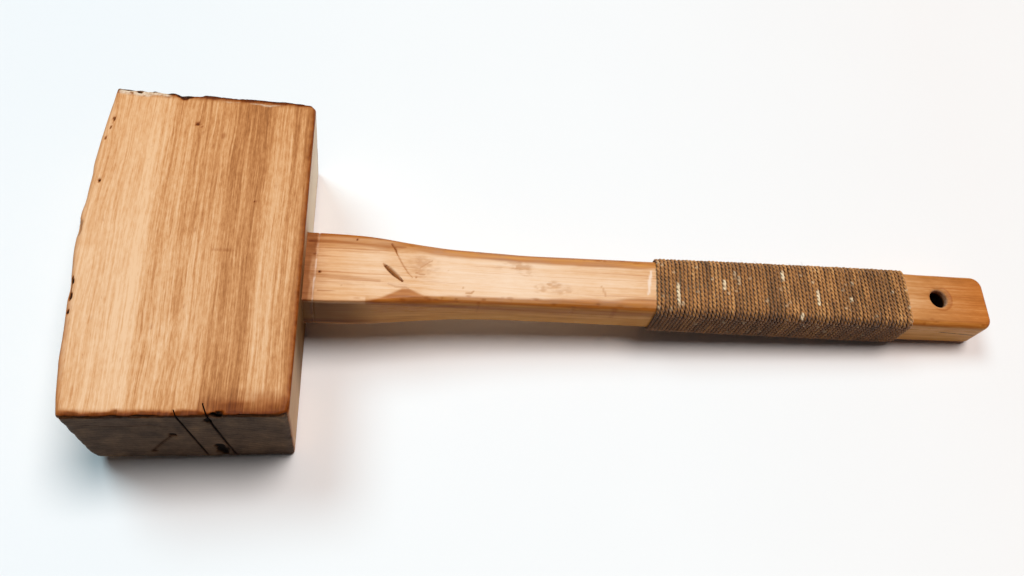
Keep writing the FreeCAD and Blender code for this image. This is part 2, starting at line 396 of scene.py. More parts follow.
# far striking edge, crown end: torn fibres, then a dark chip
chip((-37.5, 78.8, 60.4), (6.0, 2.0, 1.8), 0.6, (0, -1, -0.45), 1, 0.0, 1.0)
chip((-30.0, 78.9, 60.4), (4.5, 1.9, 1.7), 0.6, (0, -1, -0.5), 2, 0.15, 0.8)
chip((-33.0, 77.4, 60.2), (1.5, 0.8, 1.2), 0.8, (0, -0.2, -1.0), 3, 0.9, 0.0)
chip((-21.5, 79.0, 60.2), (5.0, 1.9, 2.2), 1.0, (0, -1, -0.5), 4, 0.35, 0.2)
chip((-12.5, 78.6, 60.2), (6.2, 2.5, 2.6), 0.9, (0, -0.9, -1.0), 5, 0.7, 0.0)
chip((-6.5, 79.0, 60.2), (3.0, 1.6, 2.0), 0.9, (0, -0.9, -0.7), 6, 0.7, 0.0)
chip((8.0, 79.0, 60.2), (9.0, 1.2, 1.6), 0.5, (0, -0.9, -0.6), 7, 0.45, 0.2)
chip((24.0, 78.9, 60.2), (6.0, 1.0, 1.2), 0.35, (0, -0.8, -0.6), 8, 0.25, 0.35)
chip((38.0, 78.6, 60.2), (5.0, 1.1, 1.3), 0.4, (0, -0.8, -0.6), 33, 0.25, 0.1)
# crown edge: slightly flatter in two places, and chips
chip((-47.0, -31.0, 60.0), (9.0, 27.0, 40.0), 0.75, (1, 0, 0), 37, 0.0)
chip((-46.4, 27.0, 60.0), (9.0, 15.0, 40.0), 0.6, (1, 0, 0), 38, 0.0)
chip((-47.2, 5.2, 60.0), (2.2, 4.6, 2.4), 1.1, (0.9, 0, -0.5), 9, 0.35)
chip((-47.0, -23.5, 60.0), (2.0, 6.0, 2.0), 1.4, (0.8, 0, -0.8), 10, 0.9)
chip((-45.9, -20.0, 60.2), (1.2, 2.0, 1.0), 0.8, (0, 0, -1), 12, 1.0)
chip((-45.4, -27.5, 60.2), (0.9, 2.4, 1.0), 0.8, (0, 0, -1), 13, 0.9)
chip((-45.2, -34.6, 60.2), (0.8, 1.7, 1.0), 0.8, (0, 0, -1), 14, 0.9)
chip((-41.9, 61.5, 60.2), (0.9, 2.2, 1.0), 0.7, (0, 0, -1), 15, 0.8)
chip((-42.6, 56.5, 60.2), (0.7, 1.7, 1.0), 0.5, (0, 0, -1), 16, 0.7)
chip((-43.8, 51.0, 60.2), (0.7, 1.4, 1.0), 0.4, (0, 0, -1), 17, 0.6)
# near striking edge
chip((18.0, -77.2, 60.4), (3.6, 2.6, 3.4), 2.1, (0, 0.9, -0.8), 18, 1.0)
chip((19.6, -75.6, 60.2), (2.2, 1.4, 1.2), 0.8, (0, 0, -1), 36, 0.9)
chip((14.6, -77.2, 54.2), (2.4, 1.7, 3.4), 1.1, (0, 1, 0), 19, 1.0)
chip((14.7, -77.2, 9.5), (3.5, 2.2, 9.6), 1.5, (0, 1, 0), 20, 1.0)
chip((-2.2, -77.8, 34.4), (2.2, 1.4, 2.4), 0.9, (0, 1, 0), 22, 1.0)
chip((-14.0, -77.9, 10.0), (1.6, 1.4, 2.6), 0.6, (0, 1, 0), 23, 0.6)
chip((-30.0, -79.1, 60.4), (7.5, 1.5, 1.8), 0.8, (0, 0.8, -0.6), 24, 0.6)
chip((-21.0, -78.9, 60.4), (4.0, 1.6, 1.6), 0.6, (0, 0.8, -0.7), 34, 0.8)
chip((-8.5, -78.3, 60.4), (6.5, 1.5, 1.8), 0.8, (0, 0.8, -0.7), 25, 0.8)
chip((9.0, -78.0, 60.4), (3.5, 1.3, 1.6), 0.6, (0, 0.8, -0.7), 35, 0.7)
chip((33.0, -76.7, 60.4), (9.0, 1.6, 1.8), 0.6, (0, 0.8, -0.6), 26, 0.6)
chip((-22.0, -78.7, 0.0), (9.0, 2.0, 2.0), 0.8, (0, 0.9, 0.6), 27, 0.4)
chip((22.0, 78.8, 0.0), (8.0, 2.0, 2.4), 1.3, (0, -0.9, 0.7), 28, 0.4)
chip((-20.0, 78.8, 30.0), (2.5, 1.4, 3.0), 0.8, (0, -1, 0), 29, 0.8)
chip((46.4, -60.0, 0.0), (2.0, 6.0, 2.0), 0.8, (-0.8, 0, 0.6), 30, 0.4)
chip((46.4, 52.0, 60.0), (1.6, 5.0, 1.6), 0.5, (-0.8, 0, -0.6), 32, 0.3)
# pin hole, small knot and faint marks on the upper cheek
top_m = (1 - smooth(0.02, 0.5, d_top)) * shape_it
m = top_m * (1 - smooth(0.35, 0.95, np.hypot(x + 43.3, (y - 28.7) * 0.8)))
push[:, 2] -= 1.0 * m
dark = np.maximum(dark, m)
m = top_m * (1 - smooth(0.5, 1.5, np.hypot(x + 5.5, y - 62.0)))
push[:, 2] -= 0.35 * m
dark = np.maximum(dark, 0.8 * m)
m = line_mask(x, y, [(-5.0, 61.6), (-3.6, 60.8), (-2.5, 60.3)], [0.7, 0.5, 0.2]) * top_m
dark = np.maximum(dark, 0.5 * m)
m = top_m * (1 - smooth(0.3, 1.5, np.hypot((x - 6.6) * 0.9, (y - 56.5) * 0.6)))
dark = np.maximum(dark, 0.35 * m)
m = top_m * (1 - smooth(0.25, 0.75, np.hypot(x - 23.7, y - 22.5)))
push[:, 2] -= 0.3 * m
dark = np.maximum(dark, 0.75 * m)
m = line_mask(x, y, [(5.5, -2.9), (11.0, -2.3), (17.9, -2.2)], [0.25, 0.4, 0.2]) * top_m
push[:, 2] -= 0.15 * m
dark = np.maximum(dark, 0.22 * m)
rngm = np.random.RandomState(17)
for _ in range(26):
    cx_, cy_ = rngm.uniform(-40, 43), rngm.uniform(-70, 72)
    m = top_m * (1 - smooth(0.3, 1.0, np.hypot((x - cx_) / rngm.uniform(0.35, 0.9), (y - cy_) / rngm.uniform(0.5, 2.4))))
    push[:, 2] -= rngm.uniform(0.05, 0.2) * m
    dark = np.maximum(dark, rngm.uniform(0.08, 0.3) * m)
w2_ = fbm(P, (5, 3, 5), 57, 3)
top2 = (1 - smooth(0.6, 2.4, d_top)) * shape_it
torn = smooth(-43, -41, x) * (1 - smooth(-20.5, -18.5, x))
dark = np.maximum(dark, 0.60 * (1 - smooth(1.5, 3.7, d_near + 1.3 * w2_)) * top2 * smooth(-44, -38, x))
dark = np.maximum(dark, 0.52 * (1 - smooth(0.25, 1.0, (d_near + 2.6 * w2_) / 13.0)) * top2 * smooth(2, 24, x))
dark = np.maximum(dark, 0.62 * (1 - smooth(1.3, 3.2, d_far + 1.0 * w2_)) * top2 * (1 - torn))
dark = np.maximum(dark, 0.44 * (1 - smooth(0.4, 2.7, d_under + 0.7 * w2_)) * top2)
dark = np.maximum(dark, 0.24 * crown_w * (1 - smooth(0.3, 1.9, d_crown + 0.7 * w2_)) * top2)
# torn, pale fibres at the far crown corner, then a dark chip bruised into the cheek
w3_ = fbm(P, (2.6, 1.6, 2.6), 58, 2)
pale = np.maximum(pale, 0.95 * (1 - smooth(1.9, 3.3, d_far + 1.5 * w2_ + 0.8 * w3_)) * top2 * torn)
dark = np.maximum(dark, 0.55 * smooth(0.12, 0.42, w3_) * (1 - smooth(2.2, 3.4, d_far + 1.2 * w2_)) * top2 * torn)
m = (1 - smooth(0.45, 1.0, np.hypot((x + 12.8) / 6.6, (d_far - 0.3) / 4.3) + 0.35 * w3_)) * top2
push[:, 2] -= 0.45 * m
dark = np.maximum(dark, 0.84 * m)
m = (1 - smooth(0.3, 1.0, abs(d_far - 3.1 - 0.8 * w2_) / 0.55)) * smooth(4, 8, x) * (1 - smooth(28, 33, x)) * np.clip(1.2 * w3_ + 0.5, 0, 1) * top2
pale = np.maximum(pale, 0.6 * m)
# grime round the handle on the underside, with painted shade that makes it wider and darker on the near side; painted
# shade also darkens the near part of the underside
on_under = (1 - smooth(0.5, 2.0, d_under)) * shape_it
dark = np.maximum(dark, (0.32 - 0.1 * np.tanh(y / 8)) * (1 - smooth(14, np.where(y > 0, 26, 36), abs(y) + 6 * w2_)) * on_under)
# painted shade: the near part of the underside darker
dark = np.maximum(dark, 0.15 * (1 - smooth(-62, -10, y)) * on_under)
# painted shade on the near part of the underside, beside the handle
nook_painted_shade = (1 - smooth(34, 57, abs(y + 1.5 * w2_))) * on_under * smooth(-22.0, 12.0, -y)
near_m = (1 - smooth(0.0, 0.7, d_near))
m = line_mask(x, z, [(-1.5, 35.5), (-3.7, 31.8), (-8.5, 22.7), (-15.3, 8.3)], [1.3, 0.7, 0.8, 0.5]) * near_m
push[:, 1] += 0.5 * m
dark = np.maximum(dark, 0.7 * m)
m = line_mask(x, z, [(-33, 50), (-22, 47), (-9, 49), (-2, 46)], [0.4, 0.6, 0.5, 0.3]) * near_m
push[:, 1] += 0.2 * m
dark = np.maximum(dark, 0.45 * m)
# crack lips
for path, wide in ((CRACK1, 0.8), (CRACK2, 1.0)):
    xl = np.interp(z, CRACK_Z, path)
    m = (1 - smooth(0.2, wide, abs(x - xl))) * near_m * (z > 2)
    dark = np.maximum(dark, 0.9 * m)
    push[:, 1] += 0.2 * m * shape_it
# painted shade: the faces inside the two cracks are made near-black
crack_inside_shade = ((gi >= i_c1) & (gi <= i_c1 + 1) | (gi >= i_c2) & (gi <= i_c2 + 1)) & (gj > 0) & (gj < jn) & ~((gk == 0) | (gk == K))
dark = np.where(crack_inside_shade, 1.0, dark)

Pf = Pr + push * shape_it[:, None]
# the underside is planed slightly out of square, short at the lower cheek
Pf[:, 0] -= 0.9 * (1 - Pf[:, 2] / T) * smooth(25.0, 46.7, Pf[:, 0])
Pf[:, 2] = np.clip(Pf[:, 2], 0.0, T)
endg = np.maximum(1 - smooth(0.3, 1.3, d_near + 0.6 * wob), 1 - smooth(0.3, 1.3, d_far + 0.6 * wob))
head = make_mesh("head_block", Pf, quads,
                 {"wear": wear, "dark": dark, "pale": pale, "endg": endg * shape_it, "under_light_shade": under_light_shade_mask, "nook_painted_shade": nook_painted_shade}, sharp=55)

# ================================================================ handle
hx = spans([(-47.4, 1.4), (WEDGE_TIP, 1.2), (KERF_X, 1.5), (44.0, 0.7), (UNDER_X, 0.5), (54.0, 0.6), (76.0, 0.4), (99.0, 0.7),
            (180.0, 0.8), (WRAP0 - 6, 0.8), (WRAP0 + 4, 3.0), (WRAP1 - 4, 0.8), (358.0, 0.5), (386.0, 0.4), (END_X, 1.0)])
leaf = (TANG_W - 2 * KERF_W) / 3.0
nl = 19
n_y = 3 * nl + 4
kz = spans([(0.0, 0.026), (0.18, 0.04), (0.82, 0.026), (1.0, 1)])
HI, HJ, HK = len(hx) - 1, n_y, len(kz) - 1
hs = np.ones((HI, HJ, HK), bool)
ik = int(np.argmin(abs(hx - KERF_X)))
hs[:ik, nl:nl + 2, :] = False
hs[:ik, 2 * nl + 2:2 * nl + 4, :] = False
# hanging hole: a square of cells, rounded below
HOLE_X, HOLE_Y, HOLE_R, RIM = 366.3, 0.8, 4.7, 2.0
w_hole = float(sect(HOLE_X, 1))
ia = int(np.argmin(abs(hx - (HOLE_X - 4.6))))
ib = int(np.argmin(abs(hx - (HOLE_X + 4.6))))
yl = -w_hole / 2 + w_hole * np.arange(HJ + 1) / HJ
ja = int(np.argmin(abs(yl - (HOLE_Y - 4.6))))
jb = int(np.argmin(abs(yl - (HOLE_Y + 4.6))))
hs[ia:ib, ja:jb, :] = False
grid, quads = block_surface(hs)
gi, gj, gk = grid.T
X = hx[gi]
# y lines: leaves and kerfs in the tang, even spacing beyond it
spread = np.clip((KERF_X - X) / (KERF_X - CROWN_X), 0, None) * (TANG_CROWN_W - TANG_W) / 2
kw = KERF_W + spread
g = gj.astype(float)
c1, c2, c3, c4 = nl, nl + 2, 2 * nl + 2, 2 * nl + 4
yt = np.where(g <= c1, -leaf / 2 - kw - leaf * (1 - g / nl),
     np.where(g <= c2, -leaf / 2 - kw * (1 - (g - c1) / 2),
     np.where(g <= c3, -leaf / 2 + leaf * (g - c2) / nl,
     np.where(g <= c4, leaf / 2 + kw * (g - c3) / 2, leaf / 2 + kw + leaf * (g - c4) / nl))))
W = sect(X, 1)
TH = sect(X, 2)
RR = sect(X, 3)
RR = np.where(X < UNDER_X + 0.3, 0.25, RR)
yu = -W / 2 + W * g / HJ
bl = smooth(UNDER_X, UNDER_X + 14, X)
Y = yt * (1 - bl) + yu * bl
Z = ZH + (kz[gk] - 0.5) * TH
# crown end follows the head's crown
X = X + (crown_at(Y) - CROWN_X - 0.12) * (1 - smooth(0, 18, X - CROWN_X))
# hanging hole
ccx, ccy = (hx[ia] + hx[ib]) / 2, (yl[ja] + yl[jb]) / 2
ax_, ay_ = (hx[ib] - hx[ia]) / 2, (yl[jb] - yl[ja]) / 2
ux, uy = (X - ccx) / ax_, (Y - ccy) / ay_
m = np.maximum(abs(ux), abs(uy))
rho = np.hypot(ux, uy)
rho[rho < 1e-9] = 1
top_f, bot_f = gk == HK, gk == 0
d_face = np.minimum(kz[gk], 1 - kz[gk]) * TH
near_hole = (m < 2.3) & (X > 350)
wall_r = np.where(d_face < RIM, HOLE_R + RIM - np.sqrt(np.maximum(RIM ** 2 - (RIM - d_face) ** 2, 0)), HOLE_R)
R_here = np.where(m <= 1.001, wall_r, HOLE_R + RIM + (m - 1) * 4.6)
bt = smooth(1.0, 2.3, m)
hole_x = HOLE_X + ux / rho * R_here
hole_y = HOLE_Y + uy / rho * R_here
sel = near_hole & (top_f | bot_f | (m <= 1.001))
X = np.where(sel, hole_x * (1 - bt) + X * bt, X)
Y = np.where(sel, hole_y * (1 - bt) + Y * bt, Y)
hole_wall = (abs(m - 1) < 2e-3) & (X > 350) & (X < 380) & ~top_f & ~bot_f
on_hole = (m <= 1.001) & (X > 350) & (X < 380)
# plan corners of the grip end
RC = 6.0
exx = np.maximum(0, X - (END_X - RC))
eyy = np.maximum(0, abs(Y) - (W / 2 - RC))
l2 = np.hypot(exx, eyy)
mm_ = np.maximum(exx, eyy)
fac = np.where((exx > 0) & (eyy > 0) & ~on_hole, mm_ / np.maximum(l2, 1e-9), 1.0)
X = np.where(fac < 1, END_X - RC + exx * fac, X)
Y = np.where(fac < 1, np.sign(Y) * (W / 2 - RC + eyy * fac), Y)
# eased edges: distance inside the plan outline, and its outward direction
qx, qy = X - (END_X - RC), abs(Y) - (W / 2 - RC)
qx0, qy0 = np.maximum(qx, 0), np.maximum(qy, 0)
ln = np.hypot(qx0, qy0)
sd = ln + np.minimum(np.maximum(qx, qy), 0) - RC
nx_ = np.where(ln > 1e-9, qx0 / np.maximum(ln, 1e-9), (qx > qy) * 1.0)
ny_ = np.where(ln > 1e-9, qy0 / np.maximum(ln, 1e-9), (qx <= qy) * 1.0) * np.sign(Y)
d_side = -sd
d_tb = np.minimum(kz[gk], 1 - kz[gk]) * TH
sgn = np.where(kz[gk] > 0.5, 1.0, -1.0)
HP0 = np.stack([X, Y, Z], 1)
edge_rr = np.minimum(RR + 0.25 * vnoise(HP0, (9, 30, 30), 51) * (X > UNDER_X + 30), TH / 2 - 0.4)
outer_h = ((gj == 0) | (gj == HJ) | top_f | bot_f | (gi == HI)) & ~hole_wall & (X > UNDER_X - 1.0)
e_side = np.maximum(0, edge_rr - d_side)
e_tb = np.maximum(0, edge_rr - d_tb)
E = np.stack([nx_ * e_side, ny_ * e_side, sgn * e_tb], 1)
L = np.linalg.norm(E, axis=1)
L[L < 1e-6] = 1.0
hn = E / L[:, None]
HP = np.where(outer_h[:, None], HP0 - E + hn * edge_rr[:, None], HP0)
hn = np.where((L == 1.0)[:, None] & (e_side + e_tb < 1e-6)[:, None], np.array([0, 0, 1.0]) * sgn[:, None], hn)

x, y, z = HP.T
edge_t = np.clip(np.minimum(d_side, 9.0) + np.minimum(d_tb, 9.0), 0, 9)
free = outer_h & (x > UNDER_X - 1)
# oiled round-overs: a broad band on the near side that starts as a scallop at the end of the neck, a fainter one on the far side
nb = np.interp(x, [72, 75, 79, 82.5, 87, 91, 94, 97, 101, 107, 113, 130, 150, 165, 185, 200, 211, 356, 395], [0.0, 0.4, 1.4, 2.8, 4.8, 6.3, 6.0, 4.6, 3.0, 2.8, 3.2, 3.2, 3.6, 3.9, 4.5, 5.7, 6.3, 2.4, 2.4])
fb = np.interp(x, [47, 54, 70, 84, 90, 110, 150, 211, 356, 395], [5.0, 6.5, 6.5, 6.0, 5.2, 5.0, 5.4, 5.6, 2.0, 2.0])
wv = 0.8 * fbm(HP, (12, 4, 4), 61, 2)
hnear = (1 - smooth(-0.7, 0.7, y + W / 2 - nb + wv * smooth(74, 84, x))) * smooth(72, 79, x) * (z > ZH)
hfar = (1 - smooth(-0.9, 0.9, W / 2 - y - fb + wv)) * (z > ZH)
hund = (1 - smooth(0.15, 1.15, np.maximum(d_side, d_tb) / np.maximum(edge_rr, 1.6) + 0.22 * fbm(HP, (14, 4, 4), 61, 2))) * (z <= ZH)
strip_f = 1 - smooth(50.0, 53.0, x)
core_w = np.interp(x, [90, 100, 120, 150, 185, 212], [3.2, 2.1, 1.6, 1.4, 1.2, 1.2])
at_edge = 1 - smooth(0.6, core_w, np.maximum(d_side, 0) + 0.5 * np.maximum(d_tb, 0) + 0.4 * wv)
hwear = np.maximum(np.maximum(hnear * (0.86 + 0.14 * at_edge), hfar * np.maximum(np.interp(x, [60, 85, 95], [0.5, 0.6, 0.9]), at_edge)), hund) * free
# painted shade on the sides of the handle
hside_painted_shade = (1 - smooth(0.1, 1.6, d_side)) * free * smooth(0.5, 3.5, d_tb)
hcore = np.clip(smooth(0.0, 1.0, at_edge) * (y < 0) * (nb > 0.3) * (z > ZH) + 0.7 * at_edge * (y > 0) * (z > ZH), 0, 1) * free * (1 - strip_f) * np.interp(x, [92, 115, 160], [1.0, 0.85, 0.55])
hcore = np.maximum(hcore, 0.60 * hnear * free * smooth(77, 83, x) * (1 - smooth(97, 107, x)))
# upper part of the sides darker, wider towards the grip
drop = ZH + TH / 2 - z
bw = np.interp(x, [70, 82, 110, 148, 185, 212], [0.0, 2.4, 5.8, 8.6, 8.0, 7.2])
b_top = np.interp(x, [82, 113, 150, 212], [1.2, 1.6, 1.5, 1.5])
side_band_and_shade = smooth(0, 2.6, drop - b_top) * (1 - smooth(0.55, 1.15, (drop - 1.5) / np.maximum(bw, 0.3) + 0.10 * wv)) * (bw > 0.4) * free * (x < 214) * (1 - smooth(1.5, 3.5, d_side))
# painted shade darkens the neck towards its lower edge, and a dark line follows its upper one
side_band_and_shade = np.maximum(side_band_and_shade, 0.9 * smooth(-9.0, -3.0, drop - TH) * (1 - smooth(62, 98, x)) * free * (y < 0))
hdark = 0.42 * (1 - smooth(0.05, 0.7, d_side + 0.5 * d_tb)) * (y < 0) * (z > ZH) * (1 - smooth(74, 80, x)) * free
hpale = np.zeros(len(HP))
hpush = np.zeros((len(HP), 3))
topm = (1 - smooth(0.02, 1.2, TH / 2 - (z - ZH))) * free
sidem = free * (1 - smooth(0.05, 1.5, d_side)) * (y < 0)
# hand-planed and handled: shallow waviness
hpush += hn * (0.16 * fbm(HP, (26, 14, 14), 71, 2) * free)[:, None]


def hmark(pts, half, depth, darkness=0.0, paleness=0.0, where=None):
    global hdark, hpale
    mk = line_mask(x, y, pts, half) * (topm if where is None else where)
    hpush[:, 2] -= depth * mk
    hdark = np.maximum(hdark, darkness * mk)
    hpale = np.maximum(hpale, paleness * mk)


# deep gouge and the hairline behind it
hmark([(82.4, 2.2), (84.6, 0.3), (87.2, -2.2), (90.9, -5.4)], [0.35, 1.3, 1.35, 0.4], 1.5, 0.66)
hmark([(83.4, 1.2), (85.6, -1.0), (88.4, -3.6)], [0.15, 0.55, 0.25], 0.1, 0.9)
hmark([(81.8, 3.0), (83.4, 1.6)], [0.3, 0.6], 0.3, 0.4)
hmark([(85.6, 13.4), (87.4, 10.6), (88.2, 8.2)], [0.5, 0.75, 0.3], 0.35, 0.65)
hmark([(88.2, 8.2), (90.6, 3.6), (93.4, -0.9), (95.6, -3.4)], [0.42, 0.42, 0.42, 0.3], 0.2, 0.45)
hmark([(84.5, -7.4), (88.0, -8.6), (92.5, -8.4), (94.0, -9.3)], [0.4, 0.5, 0.5, 0.3], 0.22, 0.3, 0.2)
# where the head's underside used to sit
strip = free * (1 - smooth(51.0, 51.6, x + 0.35 * vnoise(HP, (4, 3, 3), 81))) * (1 - 0.62 * smooth(48.6, 49.8, x + 0.4 * vnoise(HP, (4, 3, 3), 85)) * (1 - smooth(2.0, 7.0, y)))
ln_m = (1 - smooth(0.12, 0.46, abs(x - 51.45 - 0.03 * (y + 5) + 0.25 * vnoise(HP, (5, 2.6, 2.6), 82)))) * free
hpush -= hn * (0.28 * ln_m)[:, None]
hpale = np.maximum(hpale, ln_m * np.clip(0.95 + 0.7 * vnoise(HP, (4, 2.2, 2.2), 83), 0.1, 1) * np.where(y > 4, 0.25, 1.0) * (0.12 + 0.88 * smooth(ZH + 11.5, ZH + 12.8, z)))
hdark = np.maximum(hdark, 0.5 * (1 - smooth(0.1, 0.9, abs(x - 50.4))) * free * np.clip(vnoise(HP, (3, 3, 3), 84), 0, 1))
# spots, dashes and scuffs
for (sx, sy, sr, sdp, sdk) in ((53.4, -2.9, 0.75, 0.3, 0.85), (69.5, 14.6, 0.6, 0.2, 0.8), (50.6, 6.0, 0.6, 0.1, 0.5), (97.3, -3.0, 0.55, 0.15, 0.4),
                               (119.4, -6.8, 0.5, 0.15, 0.4), (63.6, -9.2, 0.4, 0.05, 0.25), (112.5, 1.8, 0.4, 0.1, 0.2)):
    mk = (1 - smooth(sr * 0.5, sr * 1.3, np.hypot(x - sx, y - sy))) * topm
    hpush[:, 2] -= sdp * mk
    hdark = np.maximum(hdark, sdk * mk)
hmark([(50.0, -4.6), (66.0, -5.4), (80.5, -6.2)], [1.2, 1.7, 0.9], 0.0, 0.24)
hmark([(53.0, -8.0), (64.0, -8.3), (74.0, -8.9)], [0.5, 0.7, 0.4], 0.0, 0.14)
hmark([(48.0, 12.6), (58.0, 12.9), (70.0, 12.4), (84.0, 11.9), (92.0, 12.2)], [1.0, 1.3, 1.0, 1.1, 0.5], 0.0, 0.36)
hmark([(55.0, 9.4), (66.0, 9.9), (80.0, 9.2)], [0.4, 0.7, 0.4], 0.0, 0.15)
hmark([(97.0, -0.8), (99.5, -1.2), (101.5, -1.1)], [0.3, 0.5, 0.3], 0.1, 0.4)
hmark([(99.0, 2.0), (101.0, 3.6), (103.4, 5.6)], [0.4, 0.6, 0.4], 0.1, 0.35)
hmark([(53.0, -12.2), (57.0, -12.4), (61.5, -12.5)], [0.3, 0.45, 0.3], 0.06, 0.42)
hmark([(102.2, 4.6), (104.8, 6.2)], [0.3, 0.5], 0.15, 0.35)
hmark([(120.6, -9.4), (123.2, -9.3), (124.2, -8.2)], [0.4, 0.6, 0.4], 0.15, 0.40)
for sx, sy, ra, rb, dk, seed in ((147.5, 5.8, 4.6, 1.5, 0.40, 91), (150.5, 2.5, 4.4, 1.2, 0.25, 92), (162.0, -2.6, 4.4, 1.6, 0.34, 93),
                                 (144.5, 7.8, 5.0, 1.0, 0.30, 98), (165.0, -4.8, 5.4, 2.2, 0.25, 99),
                                 (156.0, -5.2, 2.6, 1.6, 0.30, 94), (169.0, -6.2, 4.4, 1.4, 0.26, 95), (137.0, 5.0, 3.0, 0.9, 0.14, 96),
                                 (101.0, 2.6, 6.0, 4.4, 0.30, 97)):
    mk = np.clip(1 - np.hypot((x - sx) / (1.5 * ra), (y - sy) / (1.7 * rb)), 0, 1) * np.clip(0.5 + 1.5 * fbm(HP, (2.4, 1.2, 1.2), seed, 3), 0, 1.2) * topm
    hpush[:, 2] -= 0.2 * mk
    hdark = np.maximum(hdark, np.clip(dk * 1.6 * mk, 0, 0.75 * dk))
hmark([(186.4, -2.2), (187.4, -4.6), (188.0, -7.2)], [0.4, 0.7, 0.6], 0.15, 0.26)
# pale rub beside the winding
hmark([(212.2, 7.4), (210.8, 2.0), (209.6, -5.4)], [0.6, 1.1, 0.6], 0.05, 0.0, 0.9)
# a few dents on the edges; the split in the near side of the grip end is drawn in the handle's material
rngh = np.random.RandomState(12)
for _ in range(46):
    sx = rngh.uniform(70, 208) if rngh.rand() < 0.75 else rngh.uniform(354, 391)
    side = -1 if rngh.rand() < 0.6 else 1
    ww = float(sect(sx, 1)) / 2
    mk = np.clip(1 - np.hypot((x - sx) / rngh.uniform(0.6, 2.2), (y - side * (ww - rngh.uniform(0.2, 3.5))) / rngh.uniform(0.5, 1.0)), 0, 1) * (z > ZH) * free
    hpush -= hn * (rngh.uniform(0.08, 0.3) * mk)[:, None]
    hdark = np.maximum(hdark, np.clip(mk * 2, 0, 1) * rngh.uniform(0.05, 0.3))
hendg = np.maximum((x > END_X - 0.9) * 1.0, 1 - smooth(0.0, 1.2, x - crown_at(y))) * 1.0
hendg = np.where(gi == 0, 1.0, hendg * (x > 300))
HPf = HP + hpush * free[:, None]
# painted shade inside the hanging hole, deepening with depth
hole_painted_shade = np.where(hole_wall, smooth(2.7, 4.4, TH * (1 - kz[gk])), 0.0)
bore = np.where(on_hole, smooth(0.4, 1.8, TH * (1 - kz[gk])), 0.0)
rim_d = np.hypot(x - HOLE_X, y - HOLE_Y)
hdark = np.maximum(hdark, 0.30 * smooth(HOLE_R + RIM - 0.9, HOLE_R + RIM - 0.3, rim_d) * (1 - smooth(HOLE_R + RIM + 0.2, HOLE_R + RIM + 0.9, rim_d)) * (d_tb < 2.0) * smooth(-3.0, 4.0, x - HOLE_X + 0.6 * (HOLE_Y - y)) * free)
handle = make_mesh("handle_wood", HPf, quads,
                   {"wear": hwear, "dark": hdark, "pale": hpale, "endg": hendg, "strip": strip, "side": hside_painted_shade, "band": side_band_and_shade, "core": hcore, "hole_shade": hole_painted_shade, "bore": bore}, sharp=50)

# ================================================================ twine winding
PITCH = 1.98
TURNS = int(round((WRAP1 - WRAP0 - 2.0) / PITCH))
RT = 1.0


def winding_points(turn):
    """Centre line of the twine at a number of turns from the start, and its outward direction."""
    xx = WRAP0 + 1.0 + PITCH * turn
    w = sect(xx, 1) / 2 + 0.93
    t = sect(xx, 2) / 2 + 0.93
    rr = np.minimum(sect(xx, 3) + 0.93, t - 0.05)
    a, b = w - rr, t - rr
    per = 4 * (a + b) + 2 * math.pi * rr
    u = (turn % 1.0) * per
    yy = np.zeros_like(xx)
    zz = np.zeros_like(xx)
    nyy = np.zeros_like(xx)
    nzz = np.zeros_like(xx)
    arc = math.pi / 2 * rr
    edges = [2 * a, arc, 2 * b, arc, 2 * a, arc, 2 * b, arc]
    start = np.zeros_like(xx)
    for n, e in enumerate(edges):
        inn = (u >= start - 1e-9) & (u <= start + e + 1e-9)
        v = u - start
        if n == 0:      # along the bottom, towards +Y
            yv, zv, ay, az = -a + v, -t, 0 * v, -1 + 0 * v
        elif n == 1:
            q = v / rr
            yv, zv, ay, az = a + rr * np.sin(q), -b - rr * np.cos(q), np.sin(q), -np.cos(q)
        elif n == 2:
            yv, zv, ay, az = w + 0 * v, -b + v, 1 + 0 * v, 0 * v
        elif n == 3:
            q = v / rr
            yv, zv, ay, az = a + rr * np.cos(q), b + rr * np.sin(q), np.cos(q), np.sin(q)
        elif n == 4:
            yv, zv, ay, az = a - v, t, 0 * v, 1 + 0 * v
        elif n == 5:
            q = v / rr
            yv, zv, ay, az = -a - rr * np.sin(q), b + rr * np.cos(q), -np.sin(q), np.cos(q)
        elif n == 6:
            yv, zv, ay, az = -w + 0 * v, b - v, -1 + 0 * v, 0 * v
        else:
            q = v / rr
            yv, zv, ay, az = -a - rr * np.cos(q), -b - rr * np.sin(q), -np.cos(q), -np.sin(q)
        yy, zz = np.where(inn, yv, yy), np.where(inn, zv, zz)
        nyy, nzz = np.where(inn, ay, nyy), np.where(inn, az, nzz)
        start = start + e
    return np.stack([xx, yy, ZH + zz], 1), np.stack([0 * xx, nyy, nzz], 1), per


n_per = 214
turn = np.arange(TURNS * n_per + 1) / n_per
C, N_out, per = winding_points(turn)
cyc = np.stack([turn * 0 + 40, np.sin(turn * 2 * math.pi) * 9, np.cos(turn * 2 * math.pi) * 9], 1)
tn = np.floor(turn)
uneven = 0.20 * vnoise(np.stack([turn * 3.1, cyc[:, 1], cyc[:, 2]], 1), (2.6, 9, 9), 101) + 0.10 * vnoise(np.stack([turn * 7.7, cyc[:, 1], cyc[:, 2]], 1), (2.0, 4, 4), 102)
ends = smooth(0, 1.5, turn) * (1 - smooth(TURNS - 1.5, TURNS, turn))
C[:, 0] += uneven * (0.4 + 0.6 * ends)
# wound on at a slight slant, more at the head end
w_t = np.clip((C[:, 0] - WRAP0) / (WRAP1 - WRAP0), 0, 1)
w_s = 0.5 - C[:, 1] / (sect(C[:, 0], 1) + 1.9)
C[:, 0] -= 0.5 + 1.3 * w_t + (2.6 - 1.6 * w_t) * w_s
C += N_out * (0.10 * vnoise(np.stack([turn * 5.0, cyc[:, 1], cyc[:, 2]], 1), (2.2, 6, 6), 103))[:, None]
